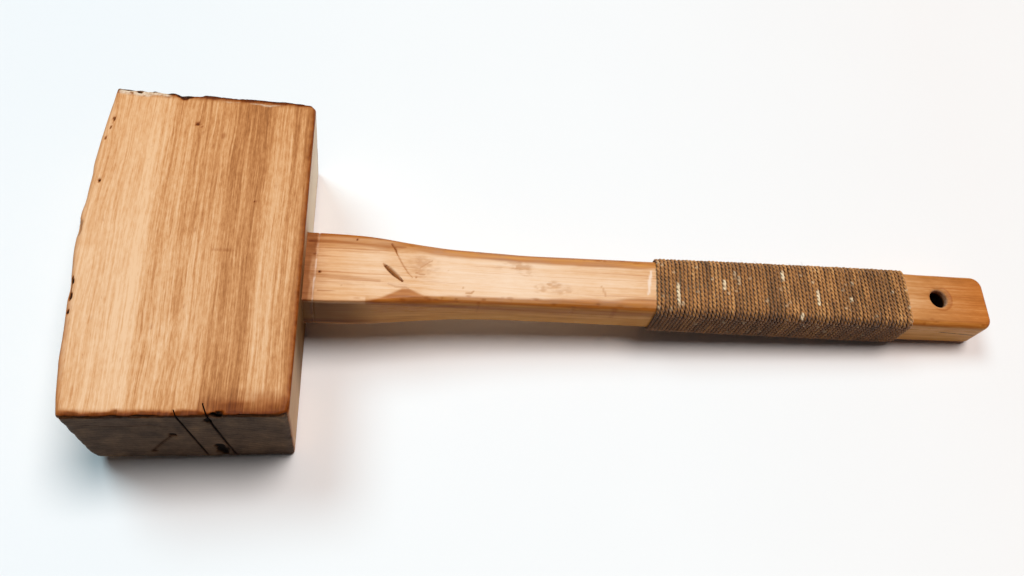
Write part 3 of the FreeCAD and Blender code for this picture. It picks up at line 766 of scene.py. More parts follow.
# the first and last turns sit a little lower, tucked beneath their neighbours
C -= N_out * (0.35 * (1 - smooth(0, 1.0, turn)) + 0.35 * smooth(TURNS - 1.0, TURNS, turn))[:, None]
Tn = np.gradient(C, axis=0)
seg = np.linalg.norm(Tn, axis=1)
Tn /= seg[:, None]
arc_len = np.cumsum(seg) - seg[0]
side_v = np.cross(Tn, N_out)
side_v /= np.linalg.norm(side_v, axis=1)[:, None]
up_v = np.cross(side_v, Tn)
# twists per turn: not a whole number, so that neighbouring turns do not line up
twist = 2 * math.pi * (22.38 * turn + 0.10 * vnoise(np.stack([arc_len, arc_len * 0, arc_len * 0], 1), (9, 1, 1), 104))
yarn_r = 0.60 * (1 + 0.13 * vnoise(np.stack([arc_len, arc_len * 0, arc_len * 0], 1), (2.6, 1, 1), 105) + 0.08 * vnoise(np.stack([arc_len, arc_len * 0, arc_len * 0], 1), (11, 1, 1), 106))
NR = 7
tv, tq, tt3, tone, fleck, ridge, run_at, lift, near_side_shade = [], [], [], [], [], [], [], [], []
base = 0
tone_run = vnoise(np.stack([arc_len, arc_len * 0, arc_len * 0], 1), (70, 1, 1), 107) * 0.15 + vnoise(np.stack([arc_len, arc_len * 0, arc_len * 0], 1), (19, 1, 1), 108) * 0.3 + \
    vnoise(np.stack([C[:, 0], C[:, 1], C[:, 2]], 1), (5.0, 9, 9), 109) * 0.3
turn_tone = np.array([_t for _t in np.random.RandomState(44).uniform(-0.40, 0.40, TURNS + 2)])
tone_run = tone_run + np.interp(turn, np.arange(TURNS + 2), turn_tone)
# a few pale tufts lie along single turns
fl_src = np.clip(vnoise(np.stack([arc_len, arc_len * 0, arc_len * 0], 1), (3.4, 1, 1), 110) - 0.86, 0, 1) / 0.14 * 0.5
for fx_, fy_, fl_ in ((225.0, -5.8, 6.0), (249.2, 1.2, 3.0), (279.9, 7.6, 3.0), (297.6, -3.4, 5.2), (287.0, -13.0, 1.6), (315.2, -3.4, 1.6)):
    own = (abs(C[:, 0] - fx_) < PITCH * 0.55) & (N_out[:, 2] > 0.6)
    fl_src = np.maximum(fl_src, own * (1 - smooth(0.55, 1.0, abs(C[:, 1] - fy_) / fl_ + 0.35 * vnoise(np.stack([arc_len, arc_len * 0, arc_len * 0], 1), (1.1, 1, 1), 112))))

for strand in range(2):
    ph = twist + math.pi * strand
    off = side_v * 0.80 * np.cos(ph)[:, None] + up_v * np.sin(ph)[:, None]
    cen = C + off * (0.40 * (1 + 0.05 * vnoise(np.stack([arc_len, arc_len * 0 + strand * 7, arc_len * 0], 1), (3, 1, 1), 111)))[:, None]
    ang = np.arange(NR) / NR * 2 * math.pi
    ring = (side_v[:, None, :] * np.cos(ang)[None, :, None] + up_v[:, None, :] * np.sin(ang)[None, :, None]) * (yarn_r * (1 + 0.08 * strand))[:, None, None]
    V = cen[:, None, :] + ring
    n = len(C)
    idx = base + np.arange(n * NR).reshape(n, NR)
    q = np.stack([idx[:-1], np.roll(idx, -1, 1)[:-1], np.roll(idx, -1, 1)[1:], idx[1:]], -1).reshape(-1, 4)
    tv.append(V.reshape(-1, 3))
    tq.append(q)
    tone.append(np.repeat(tone_run + 0.12 * strand, NR))
    fleck.append(np.repeat(fl_src * (1.0 if strand == 0 else 0.7), NR))
    ridge.append(np.tile(np.cos(ang), n))
    lift.append(((V - C[:, None, :]) * N_out[:, None, :]).sum(2).ravel())
    # painted shade on the near side of the winding
    near_side_shade.append(np.repeat(smooth(0.2, 0.95, -N_out[:, 1]), NR))
    run_at.append(np.repeat(arc_len, NR))
    base += n * NR
    # rounded caps close both ends of the yarn
    for end_i, row, inward in ((0, idx[0], -Tn[0]), (n - 1, idx[-1], Tn[-1])):
        ctr = cen[end_i] + inward * 0.35
        tv.append(ctr[None])
        tone.append(np.array([tone_run[end_i]]))
        fleck.append(np.array([0.0]))
        ridge.append(np.array([0.0]))
        lift.append(np.array([0.0]))
        near_side_shade.append(np.array([0.0]))
        run_at.append(np.array([arc_len[end_i]]))
        nxt = np.roll(row, -1)
        c_idx = np.full(NR, base)
        tt3.append(np.stack([c_idx, nxt, row], 1) if end_i == 0 else np.stack([c_idx, row, nxt], 1))
        base += 1

twine = make_mesh("twine_winding", np.concatenate(tv), np.concatenate(tq),
                  {"tone": np.concatenate(tone), "fleck": np.concatenate(fleck), "ridge": np.concatenate(ridge), "run": np.concatenate(run_at), "lift": np.concatenate(lift),
                   "near_side_shade": np.concatenate(near_side_shade)},
                  tris=np.concatenate(tt3))

# stray fibres standing off the twine
rngf = np.random.RandomState(31)
fv, fq, ft = [], [], []
base = 0
for n in range(300):
    i0 = rngf.randint(200, len(C) - 200)
    o = C[i0] + N_out[i0] * rngf.uniform(0.75, 1.0) + side_v[i0] * rngf.uniform(-0.5, 0.5)
    d = Tn[i0] * rngf.uniform(-1, 1) + side_v[i0] * rngf.uniform(-0.9, 0.9) + N_out[i0] * rngf.uniform(0.12, 0.45)
    d /= np.linalg.norm(d)
    bend = rngf.normal(size=3)
    ln_ = rngf.uniform(1.2, 3.6)
    rad = rngf.uniform(0.035, 0.075)
    st = []
    for q in range(6):
        f = q / 5.0
        ctr = o + d * ln_ * f + bend * 0.35 * f * f - N_out[i0] * 0.25 * f * f * ln_ * 0.4
        e1 = np.cross(d, N_out[i0] + 0.01)
        e1 /= np.linalg.norm(e1)
        e2 = np.cross(d, e1)
        rr_ = rad * (1 - 0.75 * f)
        st.append([ctr + rr_ * (math.cos(t_) * e1 + math.sin(t_) * e2) for t_ in (0, 2.094, 4.189)])
    st = np.array(st).reshape(-1, 3)
    fv.append(st)
    idx = base + np.arange(18).reshape(6, 3)
    fq.append(np.stack([idx[:-1], np.roll(idx, -1, 1)[:-1], np.roll(idx, -1, 1)[1:], idx[1:]], -1).reshape(-1, 4))
    ft.append(np.array([[base, base + 2, base + 1], [base + 15, base + 16, base + 17]]))
    base += 18
fibres = make_mesh("twine_fibres", np.concatenate(fv), np.concatenate(fq), tris=np.concatenate(ft))


# ================================================================ materials
def lin(c):
    return tuple(((v / 255.0) / 12.92 if v / 255.0 <= 0.04045 else ((v / 255.0 + 0.055) / 1.055) ** 2.4) for v in c) + (1.0,)


GAIN = (1.22, 1.28, 1.31)   # light an upward surface gets


def seen(c):
    """Base colour that looks like c under the lights, on an upward surface."""
    return tuple(v / g for v, g in zip(lin(c)[:3], GAIN)) + (1.0,)


class Mat:
    """Small helper that builds a node tree."""

    def __init__(self, name):
        self.m = bpy.data.materials.new(name)
        self.m.use_nodes = True
        self.t = self.m.node_tree
        self.t.nodes.clear()
        self.out = self.t.nodes.new("ShaderNodeOutputMaterial")
        self.b = self.t.nodes.new("ShaderNodeBsdfPrincipled")
        self.t.links.new(self.b.outputs["BSDF"], self.out.inputs["Surface"])

    def node(self, kind, **kw):
        n = self.t.nodes.new(kind)
        for k, v in kw.items():
            setattr(n, k, v)
        return n

    def put(self, sock, v):
        if hasattr(v, "is_output"):
            self.t.links.new(v, sock)
        else:
            sock.default_value = v

    def math(self, op, a, b=0.5, c=None, clamp=False):
        n = self.node("ShaderNodeMath", operation=op, use_clamp=clamp)
        self.put(n.inputs[0], a)
        self.put(n.inputs[1], b)
        if c is not None:
            self.put(n.inputs[2], c)
        return n.outputs[0]

    def coords(self):
        tc = self.node("ShaderNodeTexCoord")
        return self.scale(tc.outputs["Object"], (1000.0, 1000.0, 1000.0))

    def scale(self, vec, s, rot=(0, 0, 0)):
        n = self.node("ShaderNodeMapping", vector_type="POINT")
        self.put(n.inputs["Vector"], vec)
        n.inputs["Scale"].default_value = s
        n.inputs["Rotation"].default_value = rot
        return n.outputs[0]

    def noise(self, vec, s, detail=3.0, rough=0.55, distortion=0.0):
        n = self.node("ShaderNodeTexNoise", noise_dimensions="3D")
        self.put(n.inputs["Vector"], self.scale(vec, s))
        n.inputs["Scale"].default_value = 1.0
        n.inputs["Detail"].default_value = detail
        n.inputs["Roughness"].default_value = rough
        n.inputs["Distortion"].default_value = distortion
        return n.outputs[0]

    def warp(self, vec, s, amount):
        """Shift the coordinates by a slow noise, amount in mm on each axis."""
        n = self.node("ShaderNodeTexNoise", noise_dimensions="3D")
        self.put(n.inputs["Vector"], self.scale(vec, s))
        n.inputs["Scale"].default_value = 1.0
        n.inputs["Detail"].default_value = 2.0
        sub = self.node("ShaderNodeVectorMath", operation="SUBTRACT")
        self.put(sub.inputs[0], n.outputs["Color"])
        sub.inputs[1].default_value = (0.5, 0.5, 0.5)
        mul = self.node("ShaderNodeVectorMath", operation="MULTIPLY")
        self.put(mul.inputs[0], sub.outputs[0])
        mul.inputs[1].default_value = amount
        add = self.node("ShaderNodeVectorMath", operation="ADD")
        self.put(add.inputs[0], vec)
        self.put(add.inputs[1], mul.outputs[0])
        return add.outputs[0]

    def attr(self, name):
        n = self.node("ShaderNodeAttribute", attribute_name=name)
        return n.outputs["Fac"]

    def ramp(self, fac, stops, smoothly=False):
        n = self.node("ShaderNodeValToRGB")
        cr = n.color_ramp
        cr.interpolation = "EASE" if smoothly else "LINEAR"
        while len(cr.elements) < len(stops):
            cr.elements.new(0.5)
        for e, (pos, col) in zip(cr.elements, stops):
            e.position = pos
            e.color = col if isinstance(col, tuple) else (col, col, col, 1.0)
        self.put(n.inputs[0], fac)
        return n.outputs["Color"]

    def mix(self, fac, a, b, mode="MIX"):
        n = self.node("ShaderNodeMix", data_type="RGBA", blend_type=mode)
        self.put(n.inputs[0], fac)
        self.put(n.inputs[6], a)
        self.put(n.inputs[7], b)
        return n.outputs[2]

    def sum(self, *terms):
        """Sum of (value, weight), each value centred on 0.5, about 0.5."""
        acc = None
        for v, w in terms:
            t = self.math("MULTIPLY_ADD", v, w, -0.5 * w)
            acc = t if acc is None else self.math("ADD", acc, t)
        return self.math("ADD", acc, 0.5)

    def bump(self, height, strength, dist_mm, normal=None):
        n = self.node("ShaderNodeBump")
        n.inputs["Strength"].default_value = strength
        n.inputs["Distance"].default_value = dist_mm * MM
        self.put(n.inputs["Height"], height)
        if normal is not None:
            self.put(n.inputs["Normal"], normal)
        return n.outputs[0]


def head_wood():
    m = Mat("head_wood")
    v = m.coords()
    w = m.warp(v, (0.018, 0.009, 0.018), (7.0, 0.0, 7.0))
    w2 = m.warp(w, (0.12, 0.03, 0.12), (1.3, 0.0, 1.3))
    band = m.noise(w, (0.075, 0.0045, 0.05), 3.0, 0.5)
    streak = m.noise(w2, (0.55, 0.010, 0.40), 4.0, 0.62)
    fibre = m.noise(w2, (2.1, 0.045, 1.7), 3.0, 0.6)
    mott = m.noise(v, (0.85, 0.24, 0.85), 3.0, 0.65)
    patch = m.noise(v, (0.035, 0.02, 0.035), 3.0, 0.6)
    sep = m.node("ShaderNodeSeparateXYZ")
    m.put(sep.inputs[0], w2)
    xr = m.math("MULTIPLY_ADD", sep.outputs[0], 1.0 / 94.1, 47.4 / 94.1)
    # heartwood bands across the width, lighter towards the crown
    bands = [(-47.4, 0.70), (-39, 0.71), (-22, 0.77), (-19, 0.71), (-16.5, 0.56), (-14, 0.49), (-11.5, 0.57), (-7, 0.60), (-3.5, 0.52), (1, 0.565),
             (4, 0.59), (6.5, 0.54), (9.4, 0.55), (10.2, 0.46), (12.5, 0.42), (16, 0.35), (18.5, 0.43), (21, 0.40), (23.5, 0.37), (26, 0.385),
             (28.5, 0.47), (31, 0.60), (33.5, 0.61), (36, 0.57), (38.5, 0.45), (41, 0.555), (43.5, 0.43), (46.7, 0.45)]
    hand = m.ramp(xr, [((bx + 47.4) / 94.1, bv) for bx, bv in bands])
    # darker towards both striking faces
    yr = m.math("MULTIPLY_ADD", sep.outputs[1], 1.0 / 160.0, 0.5)
    along_y = m.ramp(yr, [(0.0, 0.30), (0.10, 0.42), (0.22, 0.52), (0.45, 0.54), (0.75, 0.46), (0.9, 0.42), (1.0, 0.38)])
    thin = m.noise(w2, (0.95, 0.016, 0.8), 2.0, 0.5)
    t = m.sum((hand, 1.0), (band, 0.30), (streak, 0.52), (thin, 0.46), (fibre, 0.64), (mott, 0.50), (patch, 0.20), (along_y, 0.5))
    col = m.ramp(t, [(0.08, seen((146, 92, 50))), (0.30, seen((184, 123, 72))), (0.48, seen((211, 152, 99))), (0.62, seen((228, 176, 126))), (0.85, seen((243, 202, 160)))])
    hue_f = m.ramp(yr, [(0.30, 0.0), (0.95, 0.75)])
    col = m.mix(hue_f, col, m.mix(1.0, col, (1.0, 0.92, 0.80, 1.0), "MULTIPLY"))
    # short dark vessels along the grain
    ves = m.noise(w2, (1.5, 0.16, 1.5), 2.0, 0.7)
    vm = m.ramp(ves, [(0.66, 0.0), (0.78, 0.55)])
    col = m.mix(vm, col, m.mix(1.0, col, lin((200, 160, 124)), "MULTIPLY"))
    # underside: painted light, paler and less orange than the cheeks
    col = m.mix(m.math("MULTIPLY", m.attr("under_light_shade"), 0.92), col, m.ramp(m.sum((band, 0.6), (streak, 0.6), (mott, 0.4)), [(0.2, lin((238, 204, 164))), (0.8, lin((255, 242, 216)))]))
    # painted shade: the underside darker towards its near end
    col = m.mix(m.attr("under_light_shade"), col, m.mix(1.0, col, m.ramp(yr, [(0.02, (0.74, 0.58, 0.45, 1.0)), (0.30, (0.80, 0.68, 0.55, 1.0)), (0.55, (1.0, 1.0, 1.0, 1.0))]), "MULTIPLY"))
    # painted shade in the corner between the head and the handle
    col = m.mix(m.attr("nook_painted_shade"), col, m.mix(1.0, col, (0.30, 0.22, 0.13, 1.0), "MULTIPLY"))
    # worn edges, oiled by hands
    wear = m.attr("wear")
    wn = m.noise(v, (0.30, 0.30, 0.30), 3.0, 0.6)
    wf = m.math("MULTIPLY", wear, m.math("MULTIPLY_ADD", wn, 1.0, 0.50), clamp=True)
    wcol = m.ramp(m.sum((wn, 0.9), (fibre, 0.6)), [(0.25, seen((146, 80, 30))), (0.5, seen((182, 114, 56))), (0.78, seen((208, 144, 86)))])
    col = m.mix(wf, col, wcol)
    # pale torn wood
    col = m.mix(m.attr("pale"), col, m.ramp(m.noise(v, (0.9, 0.5, 0.9), 3.0), [(0.3, seen((214, 180, 142))), (0.7, seen((248, 228, 204)))]))
    # end grain of the striking faces: grime over faint rings
    ringv = m.node("ShaderNodeVectorMath", operation="LENGTH")
    off = m.node("ShaderNodeVectorMath", operation="ADD")
    m.put(off.inputs[0], m.warp(v, (0.05, 0.01, 0.05), (6.0, 0.0, 6.0)))
    off.inputs[1].default_value = (14.0, 0.0, 70.0)
    flat = m.node("ShaderNodeVectorMath", operation="MULTIPLY")
    m.put(flat.inputs[0], off.outputs[0])
    flat.inputs[1].default_value = (1.0, 0.0, 1.0)
    m.put(ringv.inputs[0], flat.outputs[0])
    rings = m.math("SINE", m.math("MULTIPLY", ringv.outputs["Value"], 2 * math.pi / 3.1))
    rings = m.math("MULTIPLY_ADD", rings, 0.5, 0.5)
    en = m.noise(v, (0.10, 0.10, 0.10), 4.0, 0.65)
    ef = m.noise(v, (1.1, 1.1, 1.1), 3.0, 0.7)
    et = m.sum((rings, 0.10), (en, 1.0), (ef, 0.35))
    ecol = m.ramp(et, [(0.12, lin((48, 37, 29))), (0.42, lin((81, 62, 49))), (0.60, lin((100, 78, 61))), (0.88, lin((136, 103, 74)))])
    eg = m.attr("endg")
    col = m.mix(eg, col, ecol)
    dk = m.math("MULTIPLY", m.attr("dark"), m.math("MULTIPLY_ADD", mott, 0.7, 0.68), clamp=True)
    col = m.mix(m.math("MULTIPLY", dk, 1.7, clamp=True), col, m.mix(1.0, col, (0.50, 0.27, 0.09, 1.0), "MULTIPLY"))
    col = m.mix(m.ramp(dk, [(0.42, 0.0), (0.95, 1.0)]), col, lin((20, 12, 8)))
    m.put(m.b.inputs["Base Color"], col)
    rough = m.sum((fibre, 0.25), (patch, 0.25), (eg, 0.25), (wear, -0.15))
    m.put(m.b.inputs["Roughness"], m.math("ADD", rough, 0.06, clamp=True))
    m.b.inputs["Specular IOR Level"].default_value = 0.05
    h = m.sum((fibre, 0.8), (mott, 0.45), (streak, 0.4), (ef, 0.5))
    m.put(m.b.inputs["Normal"], m.bump(h, 0.55, 0.14))
    return m.m


def handle_wood():
    m = Mat("handle_wood")
    v = m.coords()
    w = m.warp(v, (0.006, 0.02, 0.02), (0.0, 4.0, 4.0))
    w2 = m.warp(w, (0.02, 0.12, 0.12), (0.0, 1.2, 1.2))
    band = m.noise(w, (0.005, 0.11, 0.09), 3.0, 0.5)
    streak = m.noise(w2, (0.010, 0.62, 0.5), 4.0, 0.62)
    fibre = m.noise(w2, (0.045, 2.3, 1.9), 3.0, 0.6)
    mott = m.noise(v, (0.20, 0.8, 0.8), 3.0, 0.65)
    patch = m.noise(v, (0.03, 0.05, 0.05), 3.0, 0.6)
    sep = m.node("ShaderNodeSeparateXYZ")
    m.put(sep.inputs[0], v)
    xr = m.math("DIVIDE", sep.outputs[0], 400.0)
    tone = m.ramp(xr, [(0.0, 0.46), (0.12, 0.44), (0.15, 0.48), (0.18, 0.57), (0.20, 0.62), (0.24, 0.56), (0.265, 0.68), (0.29, 0.70), (0.35, 0.73), (0.41, 0.68), (0.47, 0.64),
                       (0.52, 0.56), (0.86, 0.36), (0.90, 0.30), (1.0, 0.26)])
    # darker along the far edge
    yr = m.math("MULTIPLY_ADD", sep.outputs[1], 1.0 / 36.0, 0.5)
    across = m.ramp(yr, [(0.0, 0.50), (0.25, 0.52), (0.6, 0.52), (0.78, 0.42), (1.0, 0.34)])
    t = m.sum((tone, 1.0), (band, 0.36), (streak, 0.40), (fibre, 0.22), (mott, 0.20), (patch, 0.22), (across, 0.8))
    col = m.ramp(t, [(0.05, seen((158, 98, 48))), (0.28, seen((203, 140, 82))), (0.48, seen((230, 178, 128))), (0.64, seen((243, 202, 162))), (0.85, seen((252, 222, 192)))])
    # dark growth lines along the neck and waist
    gl = m.noise(w2, (0.006, 0.95, 0.7), 2.0, 0.6)
    glm = m.ramp(gl, [(0.60, 0.0), (0.70, 0.5)])
    col = m.mix(glm, col, m.mix(1.0, col, lin((214, 174, 140)), "MULTIPLY"))
    # the free end beyond the winding kept more of its varnish
    ends = m.ramp(xr, [(0.87, 0.0), (0.985, 1.0)])
    col = m.mix(ends, col, m.mix(1.0, col, (0.93, 0.655, 0.35, 1.0), "MULTIPLY"))
    # band beside the head, darker where it was once covered
    st = m.attr("strip")
    col = m.mix(m.math("MULTIPLY", st, 0.9), col, m.ramp(m.sum((streak, 0.9), (mott, 0.6)), [(0.25, seen((130, 68, 28))), (0.75, seen((176, 110, 56)))]))
    wear = m.attr("wear")
    wn = m.noise(v, (0.05, 0.30, 0.30), 3.0, 0.6)
    wf = m.math("MULTIPLY", wear, m.math("MULTIPLY_ADD", wn, 0.70, 0.60), clamp=True)
    wcol = m.ramp(m.sum((wn, 0.8), (streak, 0.8)), [(0.25, seen((148, 80, 22))), (0.5, seen((188, 115, 46))), (0.75, seen((214, 148, 76)))])
    col = m.mix(m.math("MULTIPLY", wf, m.math("SUBTRACT", 1.0, st)), col, wcol)
    # sides: painted shade, a darker and more saturated colour than the top, deepest near the head
    sd_ = m.attr("side")
    scol = m.ramp(m.sum((streak, 0.7), (wn, 0.5)), [(0.25, seen((186, 118, 52))), (0.5, seen((216, 152, 80))), (0.75, seen((236, 180, 110)))])
    near_head_shade = m.ramp(xr, [(0.14, 1.0), (0.165, 0.86), (0.205, 0.16), (0.25, 0.0)])
    scol = m.mix(near_head_shade, scol, m.mix(1.0, scol, (0.33, 0.29, 0.23, 1.0), "MULTIPLY"))
    col = m.mix(sd_, col, scol)
    col = m.mix(m.math("MULTIPLY", m.attr("core"), 0.90), col, m.mix(1.0, col, (0.76, 0.58, 0.38, 1.0), "MULTIPLY"))
    # darker upper sides, and painted shade towards the neck's lower edge
    col = m.mix(m.attr("band"), col, m.mix(1.0, col, (0.66, 0.50, 0.34, 1.0), "MULTIPLY"))
    eg = m.attr("endg")
    ef = m.noise(v, (1.1, 1.1, 1.1), 3.0, 0.7)
    ecol = m.ramp(m.sum((ef, 0.7), (m.noise(v, (0.12, 0.12, 0.12), 3.0), 0.6)), [(0.2, lin((112, 68, 34))), (0.8, lin((176, 116, 62)))])
    col = m.mix(m.math("MULTIPLY", eg, 0.8), col, ecol)
    pale = m.attr("pale")
    col = m.mix(pale, col, seen((250, 226, 204)))
    col = m.mix(m.math("MULTIPLY", m.attr("bore"), 0.65), col, m.ramp(mott, [(0.3, lin((186, 130, 96))), (0.7, lin((232, 190, 160)))]))
    # painted shade: the hole's wall darkens to near-black with depth
    hole_shade = m.attr("hole_shade")
    dk = m.math("MAXIMUM", m.attr("dark"), m.math("MULTIPLY", hole_shade, 0.94))
    col = m.mix(m.math("MULTIPLY", dk, 1.8, clamp=True), col, m.mix(1.0, col, (0.56, 0.33, 0.14, 1.0), "MULTIPLY"))
    col = m.mix(m.ramp(dk, [(0.45, 0.0), (0.92, 1.0)]), col, lin((34, 18, 9)))
    # a drying split low on the near side of the free end
    sx = m.math("MULTIPLY_ADD", sep.outputs[0], 0.105, -38.64)
    sz = m.math("ADD", m.math("ADD", sep.outputs[2], sx), m.math("MULTIPLY_ADD", streak, 1.6, -0.8))
    sdist = m.math("ABSOLUTE", m.math("SUBTRACT", sz, 33.9))
    srun = m.ramp(m.math("MULTIPLY_ADD", sep.outputs[0], 1.0 / 40.0, -360.0 / 40.0), [(0.17, 0.0), (0.22, 1.0), (0.42, 1.0), (0.46, 0.15), (0.50, 1.0), (0.68, 1.0), (0.74, 0.0)])
    sm_ = m.math("MULTIPLY", m.ramp(sdist, [(0.16, 1.0), (0.42, 0.0)]), srun)
    near_side = m.ramp(m.math("MULTIPLY_ADD", sep.outputs[1], -0.1, -1.3), [(0.0, 0.0), (0.06, 1.0)])
    col = m.mix(m.math("MULTIPLY", sm_, near_side), col, lin((36, 20, 12)))
    m.put(m.b.inputs["Base Color"], col)
    rough = m.sum((fibre, 0.25), (patch, 0.25), (eg, 0.2), (wear, -0.10))
    m.put(m.b.inputs["Roughness"], m.math("ADD", rough, -0.06, clamp=True))
    m.b.inputs["Specular IOR Level"].default_value = 0.06
    h = m.sum((fibre, 0.8), (mott, 0.35), (streak, 0.4), (ef, 0.15))
    m.put(m.b.inputs["Normal"], m.bump(h, 0.45, 0.10))
    return m.m


def twine_mat():
    m = Mat("jute_twine")
    v = m.coords()
    tone = m.attr("tone")
    ridge = m.attr("ridge")
    run = m.attr("run")
    comb = m.node("ShaderNodeCombineXYZ")
    m.put(comb.inputs[0], m.math("MULTIPLY", ridge, 2.2))
    m.put(comb.inputs[1], m.math("MULTIPLY", run, 0.55))
    fib = m.noise(comb.outputs[0], (1.0, 1.0, 1.0), 3.0, 0.7)
    fine = m.noise(v, (2.4, 2.4, 2.4), 3.0, 0.7)
    mid = m.noise(v, (0.45, 0.12, 0.12), 3.0, 0.6)
    t = m.sum((m.math("MULTIPLY_ADD", tone, 0.5, 0.5), 0.45), (fib, 0.92), (fine, 0.46), (mid, 0.40))
    col = m.ramp(t, [(0.10, lin((82, 50, 23))), (0.34, lin((128, 82, 40))), (0.52, lin((165, 108, 54))), (0.68, lin((196, 133, 70))), (0.90, lin((234, 188, 128)))])
    grey = m.noise(v, (0.16, 0.05, 0.05), 2.0, 0.5)
    col = m.mix(m.ramp(grey, [(0.48, 0.0), (0.68, 0.28)]), col, m.mix(1.0, col, lin((206, 212, 214)), "MULTIPLY"))
    # painted shade between the turns and on the near side of the winding
    lf = m.attr("lift")
    low = m.ramp(m.math("MULTIPLY_ADD", lf, 0.5, 0.5), [(0.45, 1.0), (0.84, 0.0)])
    col = m.mix(m.math("MULTIPLY", low, 0.85), col, m.mix(1.0, col, (0.36, 0.25, 0.15, 1.0), "MULTIPLY"))
    col = m.mix(m.attr("near_side_shade"), col, m.mix(1.0, col, (0.60, 0.55, 0.40, 1.0), "MULTIPLY"))
    col = m.mix(m.attr("fleck"), col, lin((236, 208, 168)))
    m.put(m.b.inputs["Base Color"], col)
    m.put(m.b.inputs["Roughness"], m.math("MULTIPLY_ADD", fib, 0.25, 0.62))
    m.b.inputs["Specular IOR Level"].default_value = 0.25
    m.b.inputs["Sheen Weight"].default_value = 0.25
    m.b.inputs["Sheen Roughness"].default_value = 0.5
    m.put(m.b.inputs["Normal"], m.bump(m.sum((fib, 1.0), (fine, 0.5)), 0.7, 0.12))
    return m.m


def wedge_mat():
    m = Mat("wedge_wood")
    v = m.coords()
    w = m.warp(v, (0.02, 0.1, 0.1), (0.0, 1.0, 1.0))
    st = m.noise(w, (0.02, 1.4, 1.0), 4.0, 0.6)
    ef = m.noise(v, (1.4, 1.4, 1.4), 3.0, 0.7)
    col = m.ramp(m.sum((st, 0.9), (ef, 0.5)), [(0.2, lin((62, 36, 20))), (0.5, lin((96, 58, 32))), (0.8, lin((132, 84, 48)))])
    m.put(m.b.inputs["Base Color"], col)
    m.put(m.b.inputs["Roughness"], m.math("MULTIPLY_ADD", ef, 0.3, 0.42))
    m.put(m.b.inputs["Normal"], m.bump(m.sum((st, 0.8), (ef, 0.6)), 0.5, 0.12))
    return m.m


def floor_mat():
    m = Mat("pale_floor")
    v = m.coords()
    n = m.noise(v, (0.012, 0.012, 0.012), 3.0, 0.6)
    f = m.noise(v, (0.9, 0.9, 0.9), 3.0, 0.6)
    sep = m.node("ShaderNodeSeparateXYZ")
    m.put(sep.inputs[0], v)
    xr = m.math("MULTIPLY_ADD", sep.outputs[0], 1.0 / 600.0, 0.25)
    col = m.ramp(xr, [(0.10, seen((244, 250, 253))), (0.35, seen((249, 252, 253))), (0.62, seen((251, 252, 252))), (0.95, seen((251, 248, 246)))])
    col = m.mix(1.0, col, m.ramp(m.sum((n, 0.5), (f, 0.5)), [(0.2, (0.98, 0.98, 0.98, 1.0)), (0.8, (1.0, 1.0, 1.0, 1.0))]), "MULTIPLY")
    m.put(m.b.inputs["Base Color"], col)
    m.put(m.b.inputs["Roughness"], m.math("MULTIPLY_ADD", f, 0.2, 0.65))
    m.b.inputs["Specular IOR Level"].default_value = 0.2
    return m.m


M_head, M_handle, M_twine, M_wedge = head_wood(), handle_wood(), twine_mat(), wedge_mat()
head.data.materials.append(M_head)
handle.data.materials.append(M_handle)
twine.data.materials.append(M_twine)
fibres.data.materials.append(M_twine)
for name in ("wedge_front", "wedge_rear"):
    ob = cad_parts[name]
    if not ob.material_slots:
        ob.data.materials.append(M_wedge)
    for slot_ in ob.material_slots:
        slot_.material = M_wedge

BODY = "root"
for piece, node, slot_name in ((head, "head", "head_wood"), (handle, "handle", "handle_wood"), (twine, "grip_twine", "twine")):
    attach(piece, BODY)
    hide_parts(node)
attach(fibres, BODY)

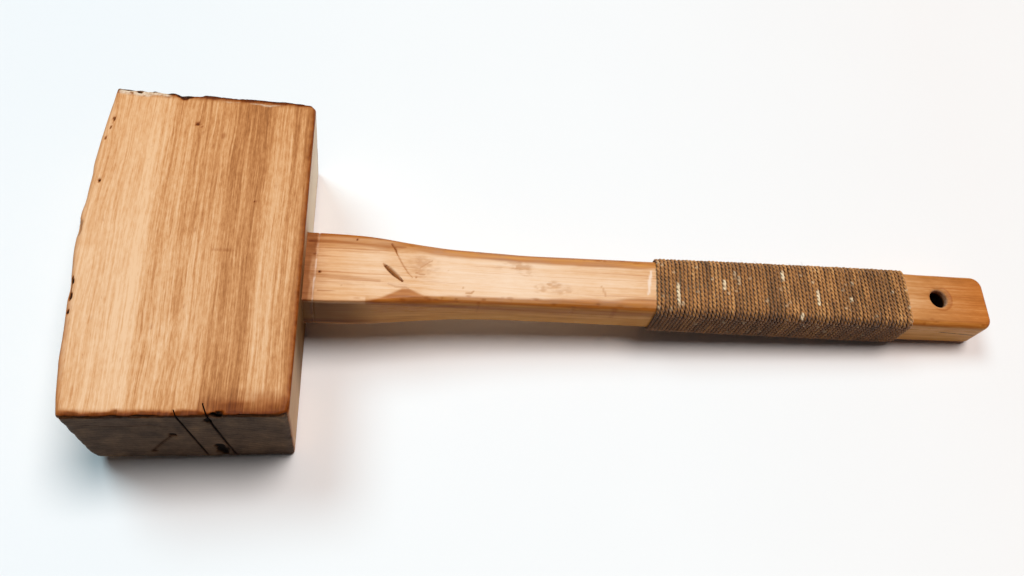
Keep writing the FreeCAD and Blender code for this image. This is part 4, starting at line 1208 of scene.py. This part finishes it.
# ---------------------------------------------------------------- floor, lights
# The mallet lies tipped: on the lower edge of the head's underside and on the grip end.
FX = spans([(-3000, 300), (-600, 40), (-120, 10), (700, 40), (1000, 300), (3000, 1)])
FY = np.array([-3000.0, -1500, -600, 0, 600, 1500, 3000])
slope = 0.0596
fz = np.array([slope * (min(max(x_, -60.0), 396.0) - 46.2) for x_ in FX])
for _ in range(3):
    fz[1:-1] = (fz[:-2] + 2 * fz[1:-1] + fz[2:]) / 4
fz -= 0.22
gxx, gyy = np.meshgrid(np.arange(len(FX)), np.arange(len(FY)), indexing="ij")
fvv = np.stack([FX[gxx], FY[gyy], fz[gxx]], -1).reshape(-1, 3)
fi = np.arange(len(FX) * len(FY)).reshape(len(FX), len(FY))
fqq = np.stack([fi[:-1, :-1], fi[1:, :-1], fi[1:, 1:], fi[:-1, 1:]], -1).reshape(-1, 4)
floor = make_mesh("floor", fvv, fqq)
floor.data.materials.append(floor_mat())


def sun(name, direction, strength, angle, colour):
    d = bpy.data.lights.new(name, "SUN")
    d.energy = strength
    d.angle = math.radians(angle)
    d.color = colour
    o = bpy.data.objects.new(name, d)
    scene.collection.objects.link(o)
    o.rotation_mode = "QUATERNION"
    o.rotation_quaternion = Vector(direction).to_track_quat("Z", "Y")
    return o


sun("key", (0.20, 0.20, 1.0), 2.9125, 25, (1.0, 0.948, 0.928))
sun("second", (-0.50, 0.50, 1.0), 1.50, 26, (0.72, 1.0, 1.12))
sun("top", (0.25, 0.10, 1.0), 0.06, 110, (1.0, 1.0, 1.0))

world = bpy.data.worlds.new("world")
scene.world = world
world.use_nodes = True
wt = world.node_tree
wt.nodes.clear()
wo = wt.nodes.new("ShaderNodeOutputWorld")
bg = wt.nodes.new("ShaderNodeBackground")
bg.inputs["Color"].default_value = (0.93, 0.95, 1.0, 1.0)
bg.inputs["Strength"].default_value = 0.03
bg2 = wt.nodes.new("ShaderNodeBackground")
bg2.inputs["Color"].default_value = (0.93, 0.95, 0.97, 1.0)
bg2.inputs["Strength"].default_value = 0.9
lp = wt.nodes.new("ShaderNodeLightPath")
mx = wt.nodes.new("ShaderNodeMixShader")
wt.links.new(lp.outputs["Is Camera Ray"], mx.inputs[0])
wt.links.new(bg.outputs[0], mx.inputs[1])
wt.links.new(bg2.outputs[0], mx.inputs[2])
wt.links.new(mx.outputs[0], wo.inputs["Surface"])
